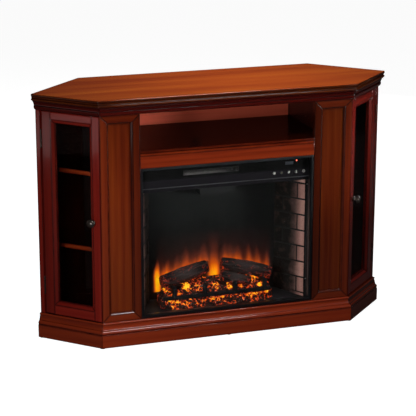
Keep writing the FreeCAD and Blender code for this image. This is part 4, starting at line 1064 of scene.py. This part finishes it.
def mound_mesh():
    """Rough skin of the ember bed, closed below."""
    columns, lines = 150, 46
    middle = (bed_front + bed_back) / 2
    floor = hearth_floor + 0.0002
    shell = bmesh.new()
    top = []
    for column in range(columns + 1):
        x = bed_left + 0.001 + (bed_right - bed_left - 0.002) * column / columns
        from_end = min(x - bed_left, bed_right - x)
        size = min(1.0, 1 - bed_end_taper / bed_height + from_end / bed_height)
        depth = (bed_back - bed_front) * size
        row = []
        for line in range(lines + 1):
            share = (line / lines) ** 1.25
            y = middle - depth / 2 + depth * share
            place = Vector((x, y, hearth_floor + follow(bed_shares, share) * bed_height * size))
            rough = noise.noise(place * 130.0) * 0.0035 + noise.noise(place * 340.0) * 0.0015
            if 0 < line < lines:
                place += Vector((0, mound_sunk * 0.5, rough - mound_sunk))
            row.append(shell.verts.new(place))
        top.append(row)
    bottom = [[shell.verts.new((row[0].co.x, end.co.y, floor)) for end in (row[0], row[-1])]
              for row in top]
    for first, second, low_first, low_second in zip(top, top[1:], bottom, bottom[1:]):
        for line in range(lines):
            shell.faces.new([first[line], second[line], second[line + 1], first[line + 1]])
        shell.faces.new([low_first[0], low_second[0], second[0], first[0]])
        shell.faces.new([first[-1], second[-1], low_second[1], low_first[1]])
        shell.faces.new([low_first[0], low_first[1], low_second[1], low_second[0]])
    for row, low in ((top[0], bottom[0]), (top[-1], bottom[-1])):
        shell.faces.new([low[0]] + row + [low[1]])
    bmesh.ops.remove_doubles(shell, verts=shell.verts[:], dist=weld_reach)
    heat = shell.verts.layers.float.new("warmth")
    for vert in shell.verts:
        vert[heat] = bed_heat(vert.co.x, vert.co.z)
    return made_mesh("ember_mound", shell, 180.0)


def make_coal_tree():
    """Scatters coals over a surface and roughens each one."""
    tree = bpy.data.node_groups.new("scattered_coals", "GeometryNodeTree")
    face = tree.interface
    face.new_socket("Surface", in_out="INPUT", socket_type="NodeSocketGeometry")
    for label, kind, value in (("Coal Radius", "Float", 0.007), ("Spacing", "Float", 0.009),
                               ("Density", "Float", 9000.0), ("Roughness", "Float", 0.006),
                               ("Seed", "Int", 4), ("Finish", "Material", None)):
        socket = face.new_socket(label, in_out="INPUT", socket_type=f"NodeSocket{kind}")
        if value is not None:
            socket.default_value = value
    face.new_socket("Geometry", in_out="OUTPUT", socket_type="NodeSocketGeometry")
    given = tree.nodes.new("NodeGroupInput").outputs
    result = tree.nodes.new("NodeGroupOutput").inputs
    spread = add(tree, "GeometryNodeDistributePointsOnFaces", {
        "Mesh": given["Surface"], "Distance Min": given["Spacing"], "Density Max": given["Density"],
        "Seed": given["Seed"]}, distribute_method="POISSON")
    lump = add(tree, "GeometryNodeMeshIcoSphere", {
        "Radius": given["Coal Radius"], "Subdivisions": 2})
    place = add(tree, "GeometryNodeInputPosition").outputs[0]
    height = add(tree, "ShaderNodeSeparateXYZ", {0: place}).outputs["Z"]
    share = calc(tree, "DIVIDE", height, given["Coal Radius"])
    marked = add(tree, "GeometryNodeStoreNamedAttribute", {
        "Geometry": lump.outputs["Mesh"], "Name": "lift", "Value": share},
        data_type="FLOAT", domain="POINT")
    turn = add(tree, "FunctionNodeRandomValue", {
        "Max": (0.5, 0.5, 6.2832), "Seed": 3}, data_type="FLOAT_VECTOR")
    turned = add(tree, "FunctionNodeRotateRotation", {
        "Rotation": spread.outputs["Rotation"], "Rotate By": turn.outputs[0]},
        rotation_space="LOCAL")
    size = add(tree, "FunctionNodeRandomValue", {
        "Min": (0.55, 0.5, 0.4), "Max": (1.35, 1.1, 0.85), "Seed": 8}, data_type="FLOAT_VECTOR")
    placed = add(tree, "GeometryNodeInstanceOnPoints", {
        "Points": spread.outputs["Points"], "Instance": marked.outputs["Geometry"],
        "Rotation": turned.outputs[0], "Scale": size.outputs[0]})
    real = add(tree, "GeometryNodeRealizeInstances", {"Geometry": placed.outputs[0]})
    rough = add(tree, "ShaderNodeTexNoise", {"Scale": 150.0, "Detail": 2.0})
    centred = add(tree, "ShaderNodeVectorMath", {
        0: rough.outputs["Color"], 1: (0.5, 0.5, 0.5)}, operation="SUBTRACT")
    moved = add(tree, "ShaderNodeVectorMath", {
        0: centred.outputs[0], "Scale": given["Roughness"]}, operation="SCALE")
    shaped = add(tree, "GeometryNodeSetPosition", {
        "Geometry": real.outputs[0], "Offset": moved.outputs[0]})
    ended = add(tree, "GeometryNodeRealizeInstances", {"Geometry": shaped.outputs[0]})
    finished = add(tree, "GeometryNodeSetMaterial", {
        "Geometry": ended.outputs[0], "Material": given["Finish"]})
    tree.links.new(finished.outputs[0], result["Geometry"])
    return tree


def grown(name, source, tree, values):
    """The plain mesh that a geometry tree makes of a source mesh."""
    holder = bpy.data.objects.new(name, source)
    stand_in_scene(holder)
    modifier = holder.modifiers.new(name, "NODES")
    modifier.node_group = tree
    for item in tree.interface.items_tree:
        if item.in_out == "INPUT" and item.name in values:
            modifier[item.identifier] = values[item.name]
    graph = bpy.context.evaluated_depsgraph_get()
    graph.update()
    mesh = bpy.data.meshes.new_from_object(holder.evaluated_get(graph))
    mesh.name = name
    bpy.data.objects.remove(holder)
    return mesh


def make_embers():
    """The mound, and coals strewn over its front and top but not in the dark behind the logs."""
    mound = mound_mesh()
    strewn = mound.copy()
    shell = bmesh.new()
    shell.from_mesh(strewn)
    hidden = [face for face in shell.faces if face.calc_center_median().z < hearth_floor + 0.004
              or face.calc_center_median().y > bed_back - 0.028]
    bmesh.ops.delete(shell, geom=hidden, context="FACES")
    shell.to_mesh(strewn)
    shell.free()
    mesh = grown("coals", strewn, make_coal_tree(), {
        "Coal Radius": 0.0062, "Spacing": 0.0086, "Density": 16000.0, "Roughness": 0.006,
        "Seed": 11, "Finish": coal})
    places = np.zeros(len(mesh.vertices) * 3)
    mesh.vertices.foreach_get("co", places)
    places = places.reshape(-1, 3)
    places[:, 0] = np.clip(places[:, 0], bed_left + 0.0002, bed_right - 0.0002)
    places[:, 1] = np.clip(places[:, 1], bed_front - 0.004, bed_back - 0.001)
    places[:, 2] = np.clip(places[:, 2], hearth_floor + 0.0004, 1.0)
    mesh.vertices.foreach_set("co", places.ravel())
    if "warmth" in mesh.attributes:
        mesh.attributes.remove(mesh.attributes["warmth"])
    heat = mesh.attributes.new("warmth", "FLOAT", "POINT")
    heat.data.foreach_set("value", [bed_heat(x, z) for x, y, z in places])
    smooth(mesh)
    publish("coals", mesh, coal, "cabinet")
    publish("ember_mound", mound, bed_glow, "cabinet", ("ember_bed",))


# Heights of the flames' foot and of their last trace on the screen
flames_foot = 0.108
flames_top = 0.316
# The logs' upper outline as it falls on the screen, left to right
log_line = ((-0.2191, 0.165), (-0.1737, 0.172), (-0.1315, 0.1808), (-0.1033, 0.1921),
            (-0.0609, 0.2020), (-0.0148, 0.2080), (-0.0005, 0.1750), (0.0145, 0.1700),
            (0.0423, 0.2130), (0.0710, 0.2065), (0.1179, 0.1911), (0.1542, 0.1803),
            (0.1907, 0.1694), (0.2090, 0.1604))
tongues = (
    # foot across, tip across, tip height, half width at the foot, light at the foot
    (-0.160, -0.156, 0.229, 0.0155, 0.66),
    (-0.126, -0.124, 0.254, 0.0130, 0.30),
    (-0.094, -0.092, 0.276, 0.0140, 0.48),
    (-0.062, -0.060, 0.262, 0.0150, 0.34),
    (-0.032, -0.029, 0.282, 0.0200, 0.44),
    (0.040, 0.046, 0.276, 0.0160, 0.26),
    (0.066, 0.062, 0.272, 0.0150, 0.24),
    (0.093, 0.094, 0.262, 0.0170, 0.36),
    (0.133, 0.129, 0.259, 0.0130, 0.66),
    (0.164, 0.160, 0.248, 0.0125, 0.58),
    (0.196, 0.197, 0.233, 0.0120, 0.56),
)
# The two tall flames: height with light along their middles, and height with half width
left_flame = ((0.1085, 0.0), (0.1105, 0.9), (0.1235, 1.02), (0.1518, 1.12), (0.1801, 0.84),
              (0.2012, 0.42), (0.2153, 0.20), (0.2330, 0.0))
left_flame_half = ((0.10, 0.0125), (0.165, 0.0125), (0.195, 0.0095), (0.233, 0.0030))
middle_flame = ((0.146, 0.0), (0.150, 0.98), (0.160, 0.96), (0.174, 0.82), (0.1954, 0.58),
                (0.2167, 0.38), (0.238, 0.23), (0.2734, 0.13), (0.3086, 0.03), (0.315, 0.0))
middle_flame_half = ((0.146, 0.022), (0.200, 0.022), (0.240, 0.018), (0.31, 0.030))


# Light of the haze over the logs: its ends across, and how far each end takes to fade
haze_left, haze_left_fade = -0.200, 0.016
haze_right, haze_right_fade = 0.212, 0.010
# The tongues lose this much light left and right of the middle flame
tongue_dimming = (0.90, 0.86)


def flame_light(x, z):
    """Strength of the flames' light at a place on the screen, 0 to about 1.2."""
    sway = noise.noise(Vector((x * 24.0, z * 20.0, 4.0))) * 0.005
    above = z - follow(log_line, x)
    lifted = max(0.0, above)
    streak = (0.92 + 0.55 * noise.noise(Vector((x * 62.0, z * 12.0, 2.7)))
              + 0.20 * noise.noise(Vector((x * 170.0, z * 30.0, 8.1))))
    level = 0.20 * math.exp(-lifted / 0.010) + 0.13 * math.exp(-(lifted / 0.040) ** 2)
    level = level * streak + 0.075 * math.exp(-(lifted / 0.085) ** 2) * (0.8 + 0.4 * streak)
    level *= clamp((x - haze_left) / haze_left_fade) * clamp((haze_right - x) / haze_right_fade)
    for foot, tip, top, half, strength in tongues:
        start = follow(log_line, foot)
        rise = (z - start) / (top - start)
        if rise > 1.0:
            continue
        up = max(0.0, rise)
        width = half * max(0.05, (1.0 - up) ** 0.8) * (1 + 0.35 * up)
        across = (x - foot - (tip - foot) * up - sway * up) / width
        fade = (1.0 - up) ** 1.1 * (0.85 + 0.3 * streak) * 0.62
        level += strength * math.exp(-abs(across) ** 2.2) * fade
    level *= clamp(1.0 + (above + 0.004) / 0.008) * tongue_dimming[x >= 0.0]
    for centre, line, half in ((-0.193, left_flame, left_flame_half),
                               (0.005, middle_flame, middle_flame_half)):
        across = (x - centre - sway * 0.6) / follow(half, z)
        level = max(level, follow(line, z) * math.exp(-abs(across) ** 3.0))
    return level if z > flames_foot else 0.0


flame_levels = (0.0, 0.10, 0.25, 0.40, 0.60, 0.80, 1.0, 1.25)
flame_colours = ((0.0, 0.0, 0.0), (0.016, 0.002, 0.001), (0.080, 0.011, 0.004),
                 (0.230, 0.032, 0.005), (0.560, 0.075, 0.003), (0.92, 0.21, 0.002),
                 (1.02, 0.43, 0.003), (1.08, 0.72, 0.010))


def flame_colour(level):
    return [float(np.interp(level, flame_levels, part)) for part in zip(*flame_colours)] + [1.0]


def make_flame_screen():
    """The screen as a fine sheet that keeps the flames' colours on its points."""
    columns, lines = 300, 150
    shell = bmesh.new()
    glow = shell.verts.layers.float_color.new("glow")
    heights = [hearth_floor + (flames_top - hearth_floor) * line / lines
               for line in range(lines + 1)]
    rows = []
    for z in heights + [0.36, 0.43, tray_height]:
        row = []
        for column in range(columns + 1):
            x = -screen_half + 2 * screen_half * column / columns
            vert = shell.verts.new((x, screen_front, z))
            level = flame_light(x, z) if z <= flames_top else 0.0
            vert[glow] = flame_colour(level * clamp((flames_top - z) / 0.02))
            row.append(vert)
        rows.append(row)
    skin_slab(shell, rows, lambda place: Vector((place.x, screen_back, place.z)))
    publish("flame_sheet", made_mesh("flame_sheet", shell, 30.0), screen_finish, "cabinet",
            ("flame_screen",))


brick_pitch = 0.0546
brick_first_joint = 0.0968
brick_length = 0.134
mortar_width = 0.0062
brick_joint = 0.034
course_fall = 0.010
brick_end = 0.0006
brick_depth = 0.0065
brick_sunk = 0.0004
brick_rim_sunk = 0.0016
mortar_sunk = 0.0034
# Painted shade on a brick, by its share of the way back to the screen.
brick_shade_along = ((0.0, 0.0), (0.10, 0.05), (0.20, 0.50), (0.32, 0.88), (0.48, 1.0), (1.0, 1.0))


def brick_line(side):
    """A side panel's face: its front end, its run to the rear end, and the way out behind it."""
    start = Vector((brick_front[0] * side, brick_front[1], 0.0))
    run = Vector((brick_back[0] * side, brick_back[1], 0.0)) - start
    along = run.normalized()
    return start, run, Vector((abs(along.y) * side, abs(along.x), 0.0)).normalized()


def one_brick(shell, side, u0, u1, z0, z1, layers, tone):
    """A rough block on the panel's face, from u0 to u1 along it."""
    start, run, behind = brick_line(side)
    along = run.normalized()
    steps_u = max(1, round((u1 - u0) / 0.006))
    steps_z = max(1, round((z1 - z0) / 0.006))
    grid = []
    for i in range(steps_u + 1):
        column = []
        for j in range(steps_z + 1):
            u = u0 + (u1 - u0) * i / steps_u
            z = z0 + (z1 - z0) * j / steps_z
            if z0 > hearth_floor + 0.001:
                z = max(hearth_floor + brick_end, z - course_fall * u / run.length)
            border = i in (0, steps_u) or j in (0, steps_z)
            face = start + along * u + Vector((0, 0, z))
            wander = noise.noise(face * 160.0) * 0.0011 + noise.noise(face * 55.0) * 0.0010
            place = face + behind * ((brick_rim_sunk if border else brick_sunk) + abs(wander) * 0.7)
            if border:
                place += along * noise.noise(face * 90.0 + Vector((5, 5, 5))) * 0.0008
            vert = shell.verts.new(place)
            vert[layers[0]] = tone
            vert[layers[1]] = follow(brick_shade_along, u / run.length)
            column.append(vert)
        grid.append(column)
    skin_slab(shell, grid, lambda place: place + behind * (brick_depth - brick_rim_sunk), layers)


def one_mortar_bed(shell, side):
    """The dark bed behind the bricks of one panel."""
    steps_u, steps_z = 24, 70
    start, run, behind = brick_line(side)

    def before_screen(place):
        return Vector((place.x, min(place.y, screen_front), place.z))

    grid = []
    for i in range(steps_u + 1):
        column = []
        for j in range(steps_z + 1):
            z = hearth_floor + (tray_height - hearth_floor) * j / steps_z
            place = start + run * (i / steps_u) + Vector((0, 0, z)) + behind * mortar_sunk
            place += behind * noise.noise(place * 210.0) * 0.0007
            column.append(shell.verts.new(before_screen(place)))
        grid.append(column)
    skin_slab(shell, grid, lambda place: before_screen(place + behind * (brick_thickness - 0.0036)))


def make_bricks():
    """Running bond on both side panels, in a bed of dark mortar."""
    length = math.dist(brick_front, brick_back)
    for name, side in (("left", -1), ("right", 1)):
        chance = random.Random(f"bricks_{name}")
        shell = bmesh.new()
        # The second layer holds the painted shade towards the screen.
        layers = (shell.verts.layers.float.new("tone"), shell.verts.layers.float.new("soot"))
        course = -1
        while brick_first_joint + brick_pitch * course < tray_height - 0.004:
            low = brick_first_joint + brick_pitch * course
            high = brick_first_joint + brick_pitch * (course + 1)
            z0 = max(hearth_floor + brick_end, low + mortar_width / 2)
            z1 = min(tray_height - brick_end, high - mortar_width / 2)
            joint = brick_joint if course % 2 == 0 else brick_joint + brick_length / 2
            for u0, u1 in ((brick_end, joint - mortar_width / 2),
                           (joint + mortar_width / 2, length - 0.0008)):
                one_brick(shell, side, u0, u1, z0, z1, layers, chance.uniform(0.1, 0.9))
            course += 1
        publish(f"{name}_bricks", made_mesh(f"{name}_bricks", shell, 50.0), brick, "cabinet")
    shell = bmesh.new()
    for side in (-1, 1):
        one_mortar_bed(shell, side)
    publish("mortar_beds", made_mesh("mortar_beds", shell, 50.0), mortar, "cabinet",
            ("brick_panels",))


# Marks on the buttons

def raised(shell, outline, centre, thickness=0.0003):
    """A thin raised shape on a button, from an outline in X and Z."""
    front, back = ([shell.verts.new((centre[0] + x, y, centre[1] + z)) for x, z in outline]
                   for y in (button_front - thickness, button_front + 0.0002))
    shell.faces.new(front)
    shell.faces.new(back[::-1])
    skin(shell, (front, back), closed=True)


def arc(radius, low, high, steps):
    turns = [low + (high - low) * i / steps for i in range(steps + 1)]
    return [(radius * math.cos(turn), radius * math.sin(turn)) for turn in turns]


def ring_part(outer, inner, low, high, steps=28):
    return arc(outer, low, high, steps) + arc(inner, low, high, steps)[::-1]


def disc(radius):
    return arc(radius, 0.0, 2 * math.pi * 27 / 28, 27)


def make_marks():
    """Plain signs on the buttons: ringed dot, dot, slanting leaf, thermometer and standby ring."""
    quarter = math.pi / 2
    signs = {
        "flame": [ring_part(0.0042, 0.0033, 0.0, 2 * math.pi - 0.02), disc(0.0021)],
        "timer": [disc(0.0016)],
        "heat": [[(0.0031, 0.0034), (0.0011, 0.0040), (-0.0014, 0.0027), (-0.0030, 0.0002),
                  (-0.0030, -0.0032), (-0.0023, -0.0037), (-0.0004, -0.0030), (0.0020, -0.0012),
                  (0.0032, 0.0011)]],
        "temperature": [[(-0.0009, -0.0016), (0.0009, -0.0016), (0.0009, 0.0040),
                         (-0.0009, 0.0040)],
                        [(x, z - 0.0026) for x, z in disc(0.0017)]],
        "power": [ring_part(0.0044, 0.0034, quarter + 0.12, quarter + 2 * math.pi - 0.12),
                  disc(0.0013)],
    }
    for name, outlines in signs.items():
        shell = bmesh.new()
        for outline in outlines:
            raised(shell, outline, (button_places[name], button_height))
        publish(f"{name}_sign", made_mesh(f"{name}_sign", shell, 30.0),
                mark_faint if name == "timer" else mark_white, f"{name}_button")


def strand(shell, first, last, width, depth, layer, tones):
    """One flat strand of the mesh between two places, as a six-sided bar."""
    run = (last - first).normalized()
    up = Vector((-run.z, 0.0, run.x))
    ring = [(0.5, 0.0), (0.32, 0.5), (-0.32, 0.5), (-0.5, 0.0), (-0.32, -0.5), (0.32, -0.5)]
    rows = []
    for place, tone in ((first, tones[0]), (last, tones[1])):
        row = []
        for u, v in ring:
            vert = shell.verts.new(place + up * (u * width) + Vector((0.0, v * depth, 0.0)))
            vert[layer] = tone
            row.append(vert)
        rows.append(row)
    skin(shell, rows, closed=True)
    shell.faces.new(rows[0][::-1])
    shell.faces.new(rows[1])


def strand_tone(x, z):
    """Painted light on the strands: bright along the lower strands at the left, and dull above them
    and at the right.
    """
    low_z, high_z = grille_heights
    share = (z - low_z) / (high_z - low_z)
    bright = 0.03 + 0.97 * math.exp(-((share - 0.25) / 0.28) ** 2)
    right = clamp((0.015 - x) / 0.050)
    left = clamp((x - grille_sides[0]) / 0.012)
    return bright * (0.12 + 0.88 * right) * (0.3 + 0.7 * left)


def make_grille():
    """Expanded mesh in the outlet: two rows of diamonds in a thin rim."""
    shell = bmesh.new()
    layer = shell.verts.layers.float.new("tone")
    low_x, high_x = grille_sides
    low_z, high_z = grille_heights
    y = grille_front + grille_depth / 2
    rim = strand_width = 0.0009
    depth = grille_depth * 0.9
    columns, lines = 23, 2
    pitch = (high_x - low_x - 2 * rim) / columns
    rise = (high_z - low_z - 2 * rim) / lines
    for line in range(lines):
        for column in range(columns):
            left = low_x + rim + pitch * column
            bottom = low_z + rim + rise * line
            x, z = left + pitch / 2, bottom + rise / 2
            corners = [(left, z), (x, bottom + rise), (left + pitch, z), (x, bottom)]
            for (x0, z0), (x1, z1) in zip(corners, corners[1:] + corners[:1]):
                strand(shell, Vector((x0, y, z0)), Vector((x1, y, z1)), strand_width, depth, layer,
                       (strand_tone(x0, z0), strand_tone(x1, z1)))
    half = rim / 2
    # The rim's strands are kept dark: painted shade.
    for x0, z0, x1, z1, tone in ((low_x, low_z + half, high_x, low_z + half, 0.06),
                                 (low_x, high_z - half, high_x, high_z - half, 0.05),
                                 (low_x + half, low_z, low_x + half, high_z, 0.05),
                                 (high_x - half, low_z, high_x - half, high_z, 0.05)):
        strand(shell, Vector((x0, y, z0)), Vector((x1, y, z1)), rim, grille_depth * 0.98, layer,
               (tone, tone))
    publish("outlet_mesh", made_mesh("outlet_mesh", shell, 50.0), mesh_bright, "cabinet",
            ("outlet_grille",))


# Metal and plastic nodes, eased where their edges catch the light

def eased_node(node, material, ease, cuts=()):
    """Replaces a node of one solid by the same solid with eased arrises."""
    shell = welded(solids_of(node, whole)[0], cuts)
    eased(shell, ease)
    publish(f"{node}_finished", mesh_of(f"{node}_finished", shell), material, "cabinet",
            (node,))


def dress_nodes():
    """Eases the trim and the grate, and gives the nodes that stay as they are their finishes."""
    frame_cuts = [(Vector((side * trim_inner_half, 0, 0)), Vector((1, 0, 0))) for side in (-1, 1)]
    frame_cuts += [(Vector((0, 0, height)), Vector((0, 0, 1))) for height in trim_inner_heights]
    eased_node("insert_front_frame", satin_black, 0.0009, frame_cuts)
    eased_node("log_grate", cast_iron, 0.0018)
    finishes = {
        "base_rails": board_in_painted_shade, "bottom_panel": board_in_painted_shade, "partitions": board_in_painted_shade,
        "corner_blocks": pine, "back_panel": hardboard, "floor_glides": black_plastic,
        "shelf_pins": zinc, "hinge_frame_leaves": dark_bronze, "door_catches": black_plastic,
        "insert_casing": casing_black, "window_glass": clear_glass, "display_window": display_grey,
        "power_indicator": red_lamp, "control_fascia": gloss_black, "control_board": board_green,
        "hearth_lamps": lamp_glass, "flame_spindle": foil, "spindle_motor": zinc,
        "heater_tray": soot_black, "heater_duct": soot_black, "blower_wheel": soot_black,
        "blower_motor": zinc, "heating_element": wound_ceramic,
        "cord_gland": black_plastic, "mounting_brackets": zinc, "bracket_screws": zinc,
    }
    for name in button_places:
        finishes[f"{name}_button"] = button_black
    for side in ("left", "right"):
        finishes[f"{side}_door_glass"] = clear_glass
        finishes[f"{side}_door_hinge_leaves"] = dark_bronze
        finishes[f"{side}_door_catch_plate"] = zinc
    for node, material in finishes.items():
        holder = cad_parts[node]
        if not holder.material_slots:
            holder.data.materials.append(material)
        for slot in holder.material_slots:
            slot.material = material


# Studio

def area_light(name, place, target, size, power, spread=180.0):
    data = bpy.data.lights.new(name, "AREA")
    data.shape = "RECTANGLE"
    data.size, data.size_y = size
    data.energy = power
    data.spread = math.radians(spread)
    lamp = bpy.data.objects.new(name, data)
    lamp.location = place
    lamp.rotation_mode = "QUATERNION"
    lamp.rotation_quaternion = (Vector(target) - Vector(place)).to_track_quat("-Z", "Y")
    stand_in_scene(lamp)


def make_studio():
    """Paper and room that the camera sees white and other rays see dim, and nine lights."""
    floor_mesh = bpy.data.meshes.new("studio_floor")
    half = 30.0
    corners = [(-half, -half, 0), (half, -half, 0), (half, half, 0), (-half, half, 0)]
    floor_mesh.from_pydata(corners, [], [(0, 1, 2, 3)])
    material, tree, shader = start_material("studio_paper")
    mottle = cloud(tree, object_place(tree), 1.5, 2.0)
    feed(tree, shader, Base_Color=tint(tree, mottle, (0.50, 0.50, 0.50), (0.52, 0.52, 0.52)),
         Roughness=0.95, Emission_Color=(1.0, 1.0, 1.0), Emission_Strength=0.95,
         Specular_IOR_Level=0.0)
    quiet = add(tree, "ShaderNodeBsdfDiffuse", {"Color": (0.06, 0.06, 0.06)})
    paper = by_ray(tree, "Is Camera Ray", quiet.outputs[0], shader.outputs[0])
    tree.links.new(paper, tree.nodes["Material Output"].inputs["Surface"])
    floor_mesh.materials.append(material)
    floor = bpy.data.objects.new("studio_floor", floor_mesh)
    floor.location.z = -0.0005
    stand_in_scene(floor)

    world = bpy.data.worlds.new("studio_world")
    world.use_nodes = True
    tree = world.node_tree
    room = tree.nodes["Background"]
    room.inputs["Color"].default_value = (1.0, 1.0, 1.0, 1.0)
    room.inputs["Strength"].default_value = 0.012
    seen = add(tree, "ShaderNodeBackground", {"Color": (1.0, 1.0, 1.0), "Strength": 1.0})
    sky = by_ray(tree, "Is Camera Ray", room.outputs[0], seen.outputs[0])
    tree.links.new(sky, tree.nodes["World Output"].inputs["Surface"])
    bpy.context.scene.world = world
    area_light("overhead_softbox", (0.12, 0.04, 1.55), (0.12, 0.04, 0.8), (0.50, 0.28), 7.9)
    area_light("left_key", (-1.35, -1.60, 0.70), (-0.10, -0.15, 0.30), (0.50, 0.50), 12.5)
    area_light("right_softbox", (2.3, -2.6, 1.6), (0.3, -0.1, 0.4), (1.2, 1.2), 4.0)
    area_light("bay_fill", (1.98, -1.82, 0.66), (-0.30, 0.10, 0.64), (0.85, 0.2), 0.90, spread=17.0)
    area_light("left_floor_card", (-3.3, -0.8, 0.02), (-3.3, -0.8, 1.0), (0.9, 1.0), 1.6)
    area_light("right_floor_card", (2.2, 0.65, 0.02), (2.2, 0.65, 1.0), (1.2, 1.2), 0.10)
    area_light("arris_strip", (0.35, -0.84, 1.85), (-0.10, -0.20, 0.20), (0.9, 0.12), 8.5)
    area_light("rear_softbox", (-2.2, 2.6, 1.2), (0.0, 0.2, 0.4), (1.0, 1.2), 34.0)
    area_light("right_rear_softbox", (2.7, 2.5, 0.42), (0.3, 0.1, 0.4), (1.0, 0.7), 22.0)


def make_camera():
    """Stands where the photographed view was taken, turned a little down and to the right."""
    data = bpy.data.cameras.new("view_camera")
    data.sensor_width = 36.0
    data.lens = 139.47
    data.clip_end = 200.0
    camera = bpy.data.objects.new("view_camera", data)
    bearing, pitch, roll = 0.31828, -0.28233, 0.00151
    ahead = Vector((math.sin(bearing) * math.cos(pitch), math.cos(bearing) * math.cos(pitch),
                    math.sin(pitch)))
    level = ahead.cross(Vector((0.0, 0.0, 1.0))).normalized()
    above = level.cross(ahead)
    right = level * math.cos(roll) + above * math.sin(roll)
    up = above * math.cos(roll) - level * math.sin(roll)
    camera.location = (-1.63639, -4.92079, 1.89032)
    camera.rotation_mode = "QUATERNION"
    camera.rotation_quaternion = Matrix((right, up, -ahead)).transposed().to_quaternion()
    stand_in_scene(camera)
    bpy.context.scene.camera = camera


make_camera()
make_timber()
make_knobs()
dress_nodes()
make_bricks()
make_flame_screen()
make_embers()
make_logs()
make_marks()
make_grille()
make_studio()
bpy.context.scene.view_settings.view_transform = "Standard"
